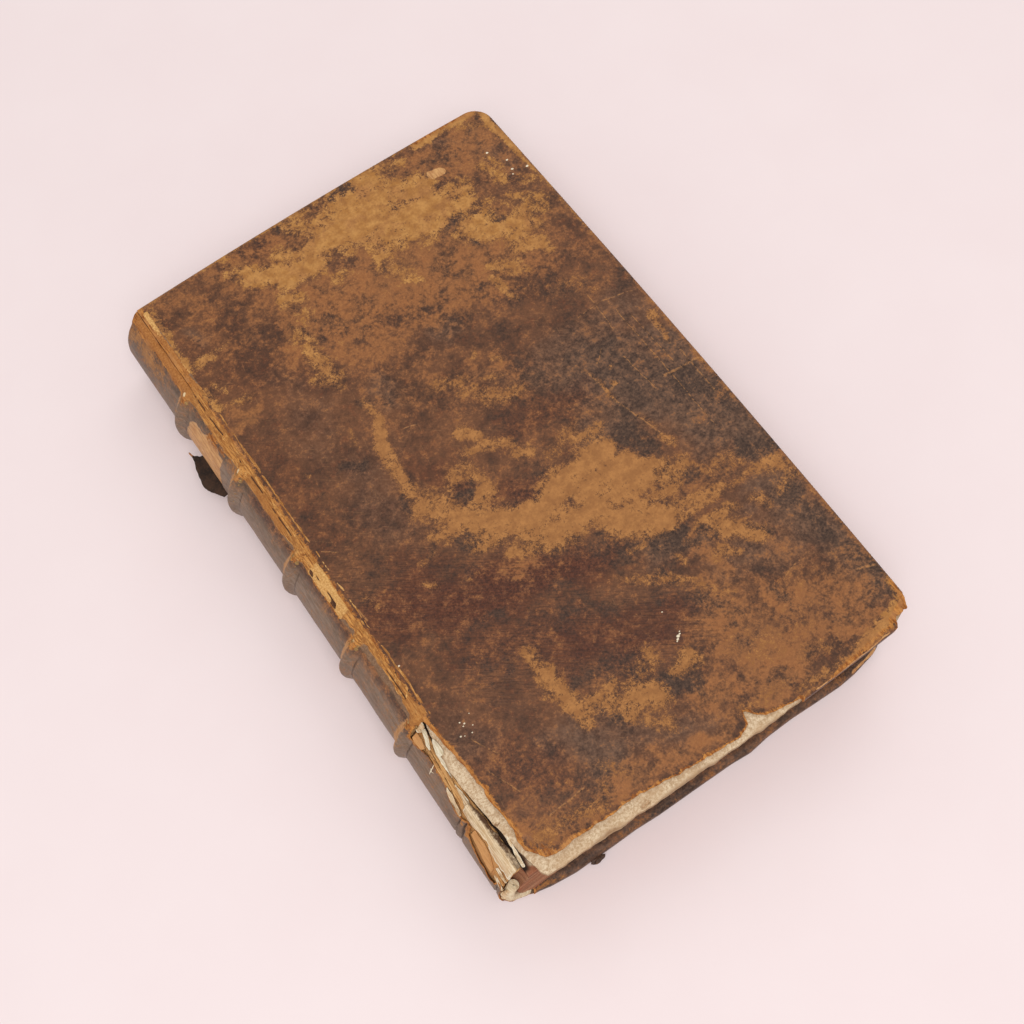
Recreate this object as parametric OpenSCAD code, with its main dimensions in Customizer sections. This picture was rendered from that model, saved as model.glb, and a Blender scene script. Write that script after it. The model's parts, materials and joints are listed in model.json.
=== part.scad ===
// Old leather-bound folio with a tight rounded back and five raised bands.
// It lies on its back cover. +X runs from the joint to the fore-edge, +Y from
// the tail to the head, +Z up. The origin is the centre of the back cover's face.

/* [Covers] */
// Height of the covers, from tail to head
cover_h = 332; // [320:1:380]
// Width of a cover, from the joint to the fore-edge
cover_w = 200; // [180:1:240]
// Thickness of the closed book over both covers
book_t = 50; // [46:1:64]
// Thickness of the pasteboard
board_t = 4.4; // [3:0.1:5.5]
// Thickness of the leather on the covers
leather_t = 0.9; // [0.6:0.1:1.3]
// Thickness of the pared leather turned in over the edges
turn_in_t = 0.5; // [0.3:0.1:0.8]
// Width of the leather turned in
turn_in_w = 15; // [8:1:25]
// Thickness of the paper pasted inside a cover
paper_t = 0.3; // [0.2:0.05:0.5]
// Distance that the pasted paper stays back from the cover's edge
paper_inset = 5; // [2:0.5:7]
// Rounding of a sound corner
corner_r = 6; // [3:0.5:9]
// Rounding of the front cover's worn tail corner
worn_corner_r = 11; // [6:0.5:13]

/* [Text block] */
// Distance from the head of the pages to the covers' edge
head_square = 5.5; // [4.5:0.5:8]
// Distance from the tail of the pages to the covers' edge
tail_square = 7; // [5:0.5:10]
// Distance from the fore-edge of the pages to the covers' edge
fore_square = 5; // [3:0.5:8]
// Depth of the hollow in the fore-edge
fore_hollow = 7; // [3:0.5:10]

/* [Spine] */
// How far the spine's panels stand out from the joint
spine_round = 12; // [10:0.5:15]
// How far the joint's leather lies below the covers' outer faces
joint_drop = 0.6; // [0.4:0.1:1]
// Thickness of the leather on the spine
spine_leather_t = 1; // [0.7:0.1:1.3]
// Thickness of the lining between the raised bands
lining_t = 1.1; // [0.8:0.1:1.6]
// Distance from the head to the first raised band
head_panel = 53; // [45:1:60]
// Distance between the first four raised bands
mid_panel = 49.2; // [45:0.2:52]
// Distance from the fourth raised band to the fifth
low_panel = 44.5; // [40:0.5:50]
// How far a raised band stands out from the panels
band_rise = 2.4; // [1.6:0.1:3.2]
// Width of a raised band where it meets the panels
band_w = 10; // [9:0.5:13]
// Distance between the two strands of a sewing cord
strand_step = 3; // [2.4:0.1:3.2]
// Thickness of the leather cap over the head endband
cap_t = 0.9; // [0.6:0.1:1.1]
// Depth of the leather cap over the head endband
cap_depth = 6; // [4:0.5:8]

/* [Endbands] */
// Thickness of an endband's rolled core
core_d = 3; // [2.4:0.1:3.2]
// Width of the hole along the middle of a rolled core
core_hole_d = 0.8; // [0.5:0.1:1.2]
// Thickness of the thread sewn round the head core
sewing_t = 0.45; // [0.3:0.05:0.5]

/* [Torn leather] */
// Distance that the torn flap hangs out from the back
flap_reach = 8; // [5:0.5:10]
// Height of the torn flap above the back cover's face
flap_z = 19; // [16:0.5:22]
// Droop of the torn flap in degrees
flap_droop = 12; // [0:1:18]

/* [Fits] */
// Gap between the pages and a cover's pasted paper
page_gap = 0.3; // [0.2:0.05:0.5]
// Gap across each joint
joint_gap = 0.4; // [0.3:0.05:0.6]
// Gap left for paste between layers
paste = 0.05; // [0.03:0.01:0.1]

/* [Hidden] */
$fn = 96;
BANDS = 5;

// Places along X and Y
joint_x = -cover_w / 2;
fore_x = cover_w / 2;
head_y = cover_h / 2;
tail_y = -cover_h / 2;
page_head_y = head_y - head_square;
page_tail_y = tail_y + tail_square;
page_fore_x = fore_x - fore_square;
mid_z = book_t / 2;
over = 1;

// Layers of a cover, counted from its outer face
board_z = leather_t + paste;
turn_in_z = board_z + board_t + paste;
skin_t = turn_in_z + turn_in_t;
stack_t = skin_t + paper_t;
page_low_z = stack_t + page_gap;
page_t = book_t - 2 * page_low_z;

// Radius of an arc from how far it stands out and half its height
function arc_r(out, half) = (half * half + out * out) / (2 * out);

// The back: every layer of a panel is a circle round one centre
panel_r = arc_r(spine_round, mid_z - joint_drop);
panel_x = joint_x - spine_round + panel_r;
lining_r = panel_r - spine_leather_t - paste;
block_r = lining_r - lining_t - paste;

// A raised band is a flatter circle that sinks into the panels at the joints
band_out = spine_round + band_rise;
band_r = arc_r(band_out, mid_z - 2 * joint_drop);
band_x = joint_x - band_out + band_r;
cord_d = band_rise + lining_t + 2 * paste;
cord_ring_r = band_r - spine_leather_t - cord_d / 2;
band_section_r = arc_r(band_rise, band_w / 2);
function band_y(i) = head_y - head_panel - min(i, 3) * mid_panel - max(i - 3, 0) * low_panel;
function panel_top(i) = i == 0 ? page_head_y : band_y(i - 1) - band_w / 2;
function panel_bottom(i) = i == BANDS ? page_tail_y : band_y(i) + band_w / 2;

// Endbands lie on the ends of the pages, just inside the back
sewing_r = core_d / 2 + sewing_t;
head_core_y = page_head_y + sewing_r + paste;
tail_core_y = page_tail_y - core_d / 2 - paste;
core_ring_r = block_r - sewing_r;

// Edge of the lost leather on the front cover: distance from the joint, distance from the tail
COVER_TEAR = [
    [-3, 80], [0.4, 80], [2.8, 63], [3.6, 50], [4.4, 29], [3.2, 18], [6, 12.7], [9, 9.4], [14, 8],
    [40, 8.5], [57, 7.9], [72, 5.8], [84, 4.6], [103, 3.7], [110.4, 5.4], [111.4, 10.3],
    [114.7, 7.9], [118, 4.7], [125, 2.9], [134, 0], [134, -3], [-3, -3]
];
// Edge of the lost leather on the spine: distance from the tail, depth below the front cover
SPINE_TEAR = [
    [-3, 26], [12, 25], [20, 24], [28, 22], [36, 23], [42, 20], [45, 15], [50, 11], [55, 7.5],
    [60, 6], [66, 5.6], [73, 6], [81, 5], [84, 1.2], [85, -6], [-3, -6]
];
// Edge of the hanging flap: share of its reach, distance from the second band
FLAP_EDGE = [
    [0, 9], [0.58, 10], [0.9, 13.5], [1, 18], [0.97, 23], [0.78, 28], [0.62, 33], [0.52, 36],
    [0.54, 40], [0.4, 36.5], [0, 33.5]
];

module along_y(low_y, high_y) {
    translate([0, high_y, 0]) rotate([90, 0, 0]) linear_extrude(height = high_y - low_y) children();
}

// A disc round a point of the book's section
module round_at(x, r) {
    translate([x, mid_z]) circle(r = r, $fn = 180);
}

// Everything outside a joint's plane, as part of the book's section
module behind_joint(gap) {
    translate([joint_x - gap - cover_w, -book_t]) square([cover_w, 3 * book_t]);
}

// A ring round the back's axis, whose section is drawn as distance from the axis and height
module ring_at(x, y) {
    translate([x, y, mid_z]) rotate([90, 0, 0]) rotate_extrude($fn = 180) children();
}

module keep_behind_joint(gap) {
    intersection() {
        children();
        along_y(tail_y - over, head_y + over) behind_joint(gap);
    }
}

// A cover's outline, drawn in by a margin, with its two fore corners rounded
module cover_outline(margin, tail_r, near_x) {
    x1 = fore_x - margin;
    y0 = tail_y + margin;
    y1 = head_y - margin;
    head_r = max(corner_r - margin, 0.5);
    foot_r = max(tail_r - margin, 0.5);
    difference() {
        translate([near_x, y0]) square([x1 - near_x, y1 - y0]);
        translate([x1 - head_r, y1 - head_r]) square(head_r + over);
        translate([x1 - foot_r, y0 - over]) square(foot_r + over);
    }
    translate([x1 - head_r, y1 - head_r]) circle(r = head_r);
    translate([x1 - foot_r, y0 + foot_r]) circle(r = foot_r);
}

// The pieces of a cover, lying on its outer face
module board(tail_r) {
    translate([0, 0, board_z])
        linear_extrude(height = board_t) cover_outline(board_z, tail_r, joint_x + joint_gap);
}

module cover_leather(tail_r) {
    difference() {
        linear_extrude(height = skin_t) cover_outline(0, tail_r, joint_x + joint_gap / 2);
        translate([0, 0, leather_t]) linear_extrude(height = board_t + 2 * paste)
            cover_outline(leather_t, tail_r, joint_x - over);
        translate([0, 0, leather_t]) linear_extrude(height = skin_t)
            cover_outline(turn_in_w, tail_r, joint_x - over);
    }
}

module pastedown(tail_r) {
    translate([0, 0, turn_in_z]) linear_extrude(height = stack_t - turn_in_z)
        cover_outline(turn_in_w + paste, tail_r, joint_x + joint_gap);
    translate([0, 0, skin_t]) linear_extrude(height = paper_t)
        cover_outline(paper_inset, tail_r, joint_x + joint_gap);
}

// Turns a back cover piece over into its place on the front
module on_front() {
    translate([0, 0, book_t]) mirror([0, 0, 1]) children();
}

module upper_board() {
    color("wheat") on_front() board(worn_corner_r);
}

module upper_cover_leather() {
    color("saddlebrown") on_front() difference() {
        cover_leather(worn_corner_r);
        translate([joint_x, tail_y, -over])
            linear_extrude(height = over + turn_in_z) polygon(COVER_TEAR);
    }
}

module upper_pastedown() {
    color("cornsilk") on_front() pastedown(worn_corner_r);
}

module lower_board() {
    color("wheat") board(corner_r);
}

module lower_cover_leather() {
    color("saddlebrown") cover_leather(corner_r);
}

module lower_pastedown() {
    color("cornsilk") pastedown(corner_r);
}

// A pair of strands lying side by side round the back
module cord_ring(i, slack) {
    ring_at(band_x, band_y(i)) for (side = [-1, 1])
        translate([cord_ring_r, side * strand_step / 2]) circle(r = cord_d / 2 + slack, $fn = 32);
}

module sewing_cord(i) {
    color("tan") keep_behind_joint(joint_gap) cord_ring(i, 0);
}

module text_block() {
    hollow_r = arc_r(fore_hollow, page_t / 2);
    color("burlywood") difference() {
        along_y(page_tail_y, page_head_y) difference() {
            union() {
                intersection() {
                    round_at(panel_x, block_r);
                    behind_joint(joint_gap);
                }
                translate([joint_x - joint_gap - over, page_low_z])
                    square([page_fore_x - joint_x + joint_gap + over, page_t]);
            }
            round_at(page_fore_x - fore_hollow + hollow_r, hollow_r);
        }
        for (i = [0 : BANDS - 1]) cord_ring(i, paste);
    }
}

// The bump that a raised band makes in the leather
module band_bump(i) {
    ring_at(band_x, band_y(i)) intersection() {
        translate([band_r - band_section_r, 0]) circle(r = band_section_r, $fn = 64);
        translate([band_r - band_rise - spine_leather_t, -band_w]) square([band_w, 2 * band_w]);
    }
}

// The torn flap, reaching out from the panel under the first band
module flap() {
    flap_x = panel_x - sqrt(panel_r * panel_r - (mid_z - flap_z) * (mid_z - flap_z));
    root = spine_leather_t / 2;
    translate([flap_x, band_y(1), flap_z]) rotate([0, -flap_droop, 0])
        linear_extrude(height = spine_leather_t)
            polygon([for (p = FLAP_EDGE) [root - p[0] * (flap_reach + root), p[1]]]);
}

module spine_leather() {
    color("sienna") difference() {
        union() {
            keep_behind_joint(joint_gap / 2) {
                along_y(tail_y, head_y) round_at(panel_x, panel_r);
                for (i = [0 : BANDS - 1]) band_bump(i);
            }
            flap();
        }
        along_y(tail_y - over, head_y - cap_t) round_at(panel_x, panel_r - spine_leather_t);
        along_y(tail_y - over, head_y + over) round_at(panel_x, panel_r - cap_depth);
        for (i = [0 : BANDS - 1]) cord_ring(i, paste);
        translate([joint_x - 2 * band_out, tail_y, 0]) rotate([90, 0, 90])
            linear_extrude(height = 3 * band_out) polygon([for (p = SPINE_TEAR) [p[0], book_t - p[1]]]);
    }
}

module spine_lining(i) {
    color("bisque") along_y(panel_bottom(i), panel_top(i)) intersection() {
        difference() {
            round_at(panel_x, lining_r);
            round_at(panel_x, block_r + paste);
        }
        behind_joint(joint_gap);
    }
}

// An endband's core, a roll of paper with a fine hole along it
module endband_core(y) {
    color("ivory") keep_behind_joint(joint_gap) ring_at(panel_x, y) translate([core_ring_r, 0])
        difference() {
            circle(r = core_d / 2, $fn = 32);
            circle(r = core_hole_d / 2, $fn = 16);
        }
}

module head_endband_sewing() {
    color("indianred") keep_behind_joint(joint_gap + core_d / 2) ring_at(panel_x, head_core_y)
        translate([core_ring_r, 0]) difference() {
            circle(r = sewing_r, $fn = 32);
            circle(r = core_d / 2 + paste, $fn = 32);
        }
}

text_block();
upper_board();
upper_cover_leather();
upper_pastedown();
lower_board();
lower_cover_leather();
lower_pastedown();
spine_leather();
for (i = [1 : BANDS]) sewing_cord(i - 1);
for (i = [1 : BANDS + 1]) spine_lining(i - 1);
endband_core(head_core_y);  // head_endband_core
head_endband_sewing();
endband_core(tail_core_y);  // tail_endband_core
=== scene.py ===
"""The looks of an old leather-bound folio: torn and rubbed calf, bare pasteboard, paper and thread."""
import json
import math

import bpy
import numpy as np
from mathutils import Matrix, Vector
from mathutils.geometry import delaunay_2d_cdt
from mathutils.kdtree import KDTree


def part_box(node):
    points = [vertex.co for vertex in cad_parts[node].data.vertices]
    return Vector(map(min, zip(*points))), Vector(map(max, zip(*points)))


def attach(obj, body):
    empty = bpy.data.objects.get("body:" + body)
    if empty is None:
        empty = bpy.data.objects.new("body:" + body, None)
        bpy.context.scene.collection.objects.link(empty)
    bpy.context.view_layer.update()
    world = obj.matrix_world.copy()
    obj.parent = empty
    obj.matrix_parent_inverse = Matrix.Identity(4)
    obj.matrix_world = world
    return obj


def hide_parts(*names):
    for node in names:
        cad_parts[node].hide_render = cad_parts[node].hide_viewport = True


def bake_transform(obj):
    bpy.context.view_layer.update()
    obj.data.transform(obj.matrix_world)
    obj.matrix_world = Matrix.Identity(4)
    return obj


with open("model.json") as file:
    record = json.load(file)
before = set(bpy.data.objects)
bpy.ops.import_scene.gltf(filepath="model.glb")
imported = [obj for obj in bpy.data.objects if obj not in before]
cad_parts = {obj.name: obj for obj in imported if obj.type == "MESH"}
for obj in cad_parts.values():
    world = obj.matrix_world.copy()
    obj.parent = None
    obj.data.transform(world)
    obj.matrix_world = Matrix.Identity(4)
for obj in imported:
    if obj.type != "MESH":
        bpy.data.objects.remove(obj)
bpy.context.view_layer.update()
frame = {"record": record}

# Everything below is in millimetres until a mesh is made
MM = 0.001
COVER_HIGH = np.array(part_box("lower_cover_leather")[1]) / MM
TOP_HIGH = np.array(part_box("upper_cover_leather")[1]) / MM
PAGE_LOW, PAGE_HIGH = (np.array(corner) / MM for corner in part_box("text_block"))
BOARD_LOW, BOARD_HIGH = (np.array(corner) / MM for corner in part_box("upper_board"))
HEAD_CORE_LOW, HEAD_CORE_HIGH = (np.array(corner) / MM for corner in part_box("head_endband_sewing"))
JOINT_X = frame["record"]["behaviour"]["joints"][0]["pos_m"][0] / MM
FORE_X = COVER_HIGH[0]
HEAD_Y = COVER_HIGH[1]
BOOK_T = TOP_HIGH[2]
MID_Z = BOOK_T / 2
SKIN_T = COVER_HIGH[2]
PAGE_TOP = PAGE_HIGH[2]
BAND_YS = [float(sum(corner[1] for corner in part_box(f"sewing_cord_{i}")) / 2 / MM) for i in range(1, 6)]

# The covers
EDGE_R = 1.7
CORNER_R = 10
WORN_CORNER_R = 12
LOWER_CORNER_R = 14
LEATHER_T = 0.85
TURN_IN = 8.5
BOW = 0.012
FORE_BOW = 1.5

# The back: circles round one line, pressed flatter at the head than at the tail
BACK_HALF = 24.4
BACK_OUT = 12.0
BACK_R = (BACK_HALF**2 + BACK_OUT**2) / (2 * BACK_OUT)
BACK_X = JOINT_X - BACK_OUT + BACK_R
BACK_TURN = math.asin(BACK_HALF / BACK_R)
BACK_GIRTH = 2 * BACK_TURN * BACK_R
HEAD_BULGE = 12.0
TAIL_BULGE = 14.8
BAND_RISE = 2.8
BAND_SPREAD = 2.5


def lattice(i, j, seed):
    """A fixed random number from -1 to 1 for each pair of whole numbers."""
    n = ((i * 73856093) ^ (j * 19349663) ^ (seed * 83492791)) & 0x7FFFFFFF
    n = ((n ^ (n >> 13)) * 1274126177) & 0x7FFFFFFF
    n = ((n ^ (n >> 16)) * 1103515245) & 0x7FFFFFFF
    return ((n >> 8) & 0xFFFF) / 32767.5 - 1


def wave(x, y, size, seed, octaves=1):
    """Smooth random values from about -1 to 1, with bumps about size apart and finer ones on them."""
    x, y = np.broadcast_arrays(np.asarray(x, float), np.asarray(y, float))
    total = np.zeros(x.shape)
    for k in range(octaves):
        u, v = x / size * 2**k, y / size * 2**k
        i, j = np.floor(u).astype(np.int64), np.floor(v).astype(np.int64)
        fu, fv = u - i, v - j
        fu, fv = fu * fu * (3 - 2 * fu), fv * fv * (3 - 2 * fv)
        low = lattice(i, j, seed + k) * (1 - fu) + lattice(i + 1, j, seed + k) * fu
        high = lattice(i, j + 1, seed + k) * (1 - fu) + lattice(i + 1, j + 1, seed + k) * fu
        total += (low * (1 - fv) + high * fv) * 0.5**k
    return total


def smooth(low, high, value):
    """0 below low, 1 above high and a smooth ramp between."""
    t = np.clip((np.asarray(value, float) - low) / (high - low), 0, 1)
    return t * t * (3 - 2 * t)


def ridge(value, centre, width):
    """A smooth hump, 1 high at its centre."""
    return np.exp(-(((value - centre) / width) ** 2))


def pairs(first, second):
    """Every pair of numbers from two rows, as two flat arrays."""
    return [grid.ravel() for grid in np.meshgrid(first, second, indexing="ij")]


def resample(points, step):
    """The same open line with its points an even distance apart."""
    points = np.array(points, float)
    along = np.concatenate([[0], np.cumsum(np.linalg.norm(np.diff(points, axis=0), axis=1))])
    count = max(2, int(round(along[-1] / step)) + 1)
    at = np.linspace(0, along[-1], count)
    return np.stack([np.interp(at, along, points[:, k]) for k in range(2)], 1)


def ragged(points, step, rough, seed, size):
    """A torn line: the open line through the points, moved sideways at random, with its ends kept."""
    line = resample(points, step)
    along = np.arange(len(line)) * step
    side = np.gradient(line, axis=0)
    side = np.stack([side[:, 1], -side[:, 0]], 1) / np.linalg.norm(side, axis=1)[:, None]
    held = np.minimum(1, np.minimum(along, along[::-1]) / (2 * step + 0.5))
    shift = rough * held * wave(along, 0, size, seed, 4)
    return line + side * shift[:, None]


def inside(points, loop):
    """Which points lie inside a closed loop."""
    x, y = points[:, 0], points[:, 1]
    odd = np.zeros(len(points), bool)
    for (x1, y1), (x2, y2) in zip(loop, np.roll(loop, -1, axis=0)):
        if y1 != y2:
            crossing = (y1 > y) != (y2 > y)
            odd ^= crossing & (x < (x2 - x1) * (y - y1) / (y2 - y1) + x1)
    return odd


def distance_to(line, points):
    """How far each flat point is from the nearest point of a finely sampled line."""
    tree = KDTree(len(line))
    for k, point in enumerate(line):
        tree.insert((point[0], point[1], 0), k)
    tree.balance()
    return np.array([tree.find((point[0], point[1], 0))[2] for point in points])


def fill(loop, points, gap):
    """Triangles that fill a closed loop, through those inner points that lie a gap or more from it."""
    points = points[inside(points, loop)]
    points = points[distance_to(loop, points) > gap]
    flat = np.concatenate([loop, points])
    edges = [(k, (k + 1) % len(loop)) for k in range(len(loop))]
    made = delaunay_2d_cdt([Vector(point) for point in flat.tolist()], edges, [], 1, 1e-6)
    corners = np.array([tuple(corner) for corner in made[0]], float)
    triangles = np.array([tuple(face) for face in made[2]], int)
    a, b, c = (corners[triangles[:, k]] for k in range(3))
    ab, ac = b - a, c - a
    turned = ab[:, 0] * ac[:, 1] - ab[:, 1] * ac[:, 0] < 0
    triangles[turned] = triangles[turned][:, ::-1]
    return corners, triangles


def grid_points(low, high, step, seed):
    """Points about a step apart over a rectangle, a little out of line."""
    xs = np.arange(low[0], high[0], step)
    ys = np.arange(low[1], high[1], step * 0.87)
    x, y = np.meshgrid(xs, ys)
    x[1::2] += step / 2
    points = np.stack([x.ravel(), y.ravel()], 1)
    i, j = np.arange(len(points)), np.zeros(len(points), np.int64)
    jitter = np.stack([lattice(i, j, seed), lattice(i, j, seed + 1)], 1)
    return points + jitter * step * 0.18


def vertex_normals(places, triangles):
    """Unit normals at the corners of a triangle mesh."""
    a, b, c = (places[triangles[:, k]] for k in range(3))
    across = np.cross(b - a, c - a)
    normals = np.zeros_like(places)
    for k in range(3):
        np.add.at(normals, triangles[:, k], across)
    return normals / np.maximum(np.linalg.norm(normals, axis=1), 1e-12)[:, None]


def thicken(places, triangles, depth):
    """A closed shell: the given surface, a second one below it, and walls along its open edges."""
    below = places - vertex_normals(places, triangles) * np.reshape(depth, (-1, 1))
    count = len(places)
    sides = np.concatenate([triangles[:, [k, (k + 1) % 3]] for k in range(3)])
    keys = {tuple(side) for side in sides.tolist()}
    walls = [(b, a, a + count, b + count) for a, b in sides.tolist() if (b, a) not in keys]
    faces = triangles.tolist() + (triangles[:, ::-1] + count).tolist() + walls
    return np.concatenate([places, below]), faces


def grid_faces(rows, columns, closed_columns=False):
    """Quads over a grid of points that is stored row by row."""
    r = np.arange(rows - 1)
    c = np.arange(columns if closed_columns else columns - 1)
    r, c = pairs(r, c)
    c2 = (c + 1) % columns
    return np.stack([r * columns + c, r * columns + c2, (r + 1) * columns + c2, (r + 1) * columns + c], 1)


def facing_up(places, rows, columns):
    """Triangles over a grid of points, turned so that on the whole they face up."""
    quads = grid_faces(rows, columns)
    triangles = np.concatenate([quads[:, [0, 1, 2]], quads[:, [0, 2, 3]]])
    return triangles[:, ::-1] if vertex_normals(places, triangles).mean(0)[2] < 0 else triangles


def finish_piece(name, places, faces, body, material, marks=None, sharp=50):
    """A mesh object made of places in millimetres, with one number per corner for each mark."""
    mesh = bpy.data.meshes.new(name)
    mesh.from_pydata((np.asarray(places) * MM).tolist(), [], [tuple(face) for face in faces])
    mesh.polygons.foreach_set("use_smooth", [True] * len(mesh.polygons))
    mesh.set_sharp_from_angle(angle=math.radians(sharp))
    for mark, values in (marks or {}).items():
        layer = mesh.attributes.new(mark, "FLOAT", "POINT")
        layer.data.foreach_set("value", np.asarray(values, np.float32))
    mesh.materials.append(material)
    piece = bpy.data.objects.new(name, mesh)
    bpy.context.collection.objects.link(piece)
    if body:
        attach(piece, body)
    return piece


def shell_piece(name, places, triangles, depth, body, material, marks=None, sharp=50):
    """A piece made of a thickened surface, with the same marks on both of its faces."""
    shell, faces = thicken(places, triangles, depth)
    marks = {mark: np.concatenate([values, values]) for mark, values in (marks or {}).items()}
    return finish_piece(name, shell, faces, body, material, marks, sharp)


def strokes_at(x, y, strokes, soft=0.55):
    """How strongly soft brush strokes cover each place. A stroke is x1, y1, x2, y2, radius, strength."""
    cover = np.zeros(np.shape(x))
    for x1, y1, x2, y2, radius, strength in strokes:
        dx, dy = x2 - x1, y2 - y1
        t = np.clip(((x - x1) * dx + (y - y1) * dy) / max(dx * dx + dy * dy, 1e-9), 0, 1)
        away = np.hypot(x - x1 - t * dx, y - y1 - t * dy)
        cover = np.maximum(cover, strength * smooth((1 + soft) * radius, (1 - soft) * radius, away))
    return cover


def smudged(x, y, strokes, seed, drift):
    """Soft strokes whose outlines wander, as wear does."""
    moved_x = x + drift * wave(x, y, 17, seed, 3) + 0.3 * drift * wave(x, y, 4, seed + 5, 2)
    moved_y = y + drift * wave(x, y, 17, seed + 9, 3) + 0.3 * drift * wave(x, y, 4, seed + 14, 2)
    return strokes_at(moved_x, moved_y, strokes, 0.85)


# Materials are built from small node helpers

def srgb(red, green, blue):
    """A display colour from 0 to 255 as the linear colour that shaders take."""
    shares = (c / 255 for c in (red, green, blue))
    return tuple(((c + 0.055) / 1.055) ** 2.4 if c > 0.04 else c / 12.92 for c in shares) + (1,)


class Paint:
    """A material whose nodes are added by short calls that take and return sockets or numbers."""

    def __init__(self, name, specular, roughness=0.7):
        self.material = bpy.data.materials.new(name)
        self.material.use_nodes = True
        self.tree = self.material.node_tree
        self.tree.nodes.clear()
        out = self.node("OutputMaterial", {})
        self.shader = self.node("BsdfPrincipled", {"Roughness": roughness, "Specular IOR Level": specular})
        self.put(self.shader.outputs[0], out.inputs["Surface"])
        place = self.node("TexCoord", {}).outputs["Object"]
        self.place = self.node("VectorMath", {0: place, "Scale": 1 / MM}, operation="SCALE").outputs[0]

    def put(self, value, socket):
        if isinstance(value, bpy.types.NodeSocket):
            self.tree.links.new(value, socket)
        else:
            socket.default_value = value

    def node(self, kind, sockets, **settings):
        """A new node with its settings made and then its inputs filled, by name or by number."""
        node = self.tree.nodes.new("ShaderNode" + kind)
        for name, value in settings.items():
            setattr(node, name, value)
        for socket, value in sockets.items():
            self.put(value, node.inputs[socket])
        return node

    def math(self, operation, a, b=0.0, c=0.0):
        return self.node("Math", {0: a, 1: b, 2: c}, operation=operation).outputs[0]

    def times(self, a, b):
        return self.math("MULTIPLY", a, b)

    def plus(self, a, b):
        return self.math("ADD", a, b)

    def mark(self, name):
        """A mark that is painted on the mesh."""
        return self.node("Attribute", {}, attribute_name=name).outputs["Fac"]

    def stretch(self, x, y, z, turn=0.0):
        """The place, turned by degrees about Z and then scaled along each axis."""
        turned = self.node("Mapping", {"Vector": self.place, "Rotation": (0, 0, math.radians(turn))})
        return self.node("Mapping", {"Vector": turned.outputs[0], "Scale": (x, y, z)}).outputs[0]

    def noise(self, size, detail, roughness=0.55, vector=None, distortion=0.0):
        """Fractal noise round 0.5, with bumps about size apart."""
        sockets = {"Vector": self.place if vector is None else vector, "Scale": 1 / size, "Detail": detail,
                   "Roughness": roughness, "Distortion": distortion}
        return self.node("TexNoise", sockets).outputs["Fac"]

    def cells(self, size):
        """How far each place is from the middle of the cell it lies in."""
        return self.node("TexVoronoi", {"Vector": self.place, "Scale": 1 / size}).outputs["Distance"]

    def ramp(self, value, low, high, start=0.0, end=1.0):
        """A smooth step from start at low to end at high."""
        sockets = {"Value": value, "From Min": low, "From Max": high, "To Min": start, "To Max": end}
        return self.node("MapRange", sockets, interpolation_type="SMOOTHSTEP").outputs["Result"]

    def mix(self, share, a, b, blend="MIX"):
        return self.node("Mix", {0: share, 6: a, 7: b}, data_type="RGBA", blend_type=blend).outputs[2]

    def between(self, noise, low, high, first, second):
        """The first display colour where a noise is low, and the second where it is high."""
        return self.mix(self.ramp(noise, low, high), srgb(*first), srgb(*second))

    def patches(self, base, noise, low, high, share, colour):
        """The base with a share of a display colour over it where a noise is high."""
        return self.mix(self.ramp(noise, low, high, 0.0, share), base, srgb(*colour))

    def swing(self, *layers):
        """The sum of several noises, each centred on 0 and multiplied by its gain."""
        total = None
        for noise, gain in layers:
            part = self.math("MULTIPLY_ADD", noise, gain, -0.5 * gain)
            total = part if total is None else self.plus(total, part)
        return total

    def shifted(self, mark, noise, gain, low, high):
        """A painted mark, raised or lowered by a noise centred on 0."""
        return self.ramp(self.math("MULTIPLY_ADD", noise, gain, self.mark(mark)), low, high)

    def soft_mask(self, mark, noise, low, high, spread):
        """A painted mark whose border is broken up by a noise round 0.5."""
        return self.ramp(self.plus(self.mark(mark), self.swing((noise, spread))), low, high)

    def bump(self, height, distance, strength, under=None):
        """The normal over a height. The distance is in millimetres."""
        sockets = {"Strength": strength, "Distance": distance * MM, "Height": height}
        if under is not None:
            sockets["Normal"] = under
        return self.node("Bump", sockets).outputs[0]

    def colour(self, value):
        self.put(value, self.shader.inputs["Base Color"])

    def set(self, name, value):
        self.put(value, self.shader.inputs[name])


# Fine scratches on the front cover: x1, y1, x2, y2, width
SCRATCHES = [
    (81, -11.3, 100, -12.8, 1.3), (67, 37.2, 80, 38, 0.5), (80, 38, 96, 34, 0.5), (54, 9, 55.5, -9, 1.2),
    (56, -10, 64, -41, 0.8), (94.2, 19, 93.4, 1, 1.5), (95.5, -4, 95, -31, 0.8), (78, 46, 77, 22, 0.5),
    (91, -136, 99, -139, 1.0), (-80, -145, -62, -144, 0.8), (-94, 9, -88, 4, 0.6),
    (-96, -21, -95, -30, 0.9), (15, 50, 19, 53, 0.7), (57, -2.5, 61, -0.5, 1.4), (84, 30, 84.4, -45, 0.5),
    (60, 12, 66, 17, 0.6), (-88, -100, -82, -112, 0.6), (-90, -115, -84, -130, 0.6),
    (-31, 38, -25, 36, 0.6), (98.6, -96, 99.6, -99, 0.8), (62, -121, 71, -118, 0.5), (72, 8, 74, -14, 0.5),
    (88, 24, 89, -8, 0.4),
]


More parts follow.
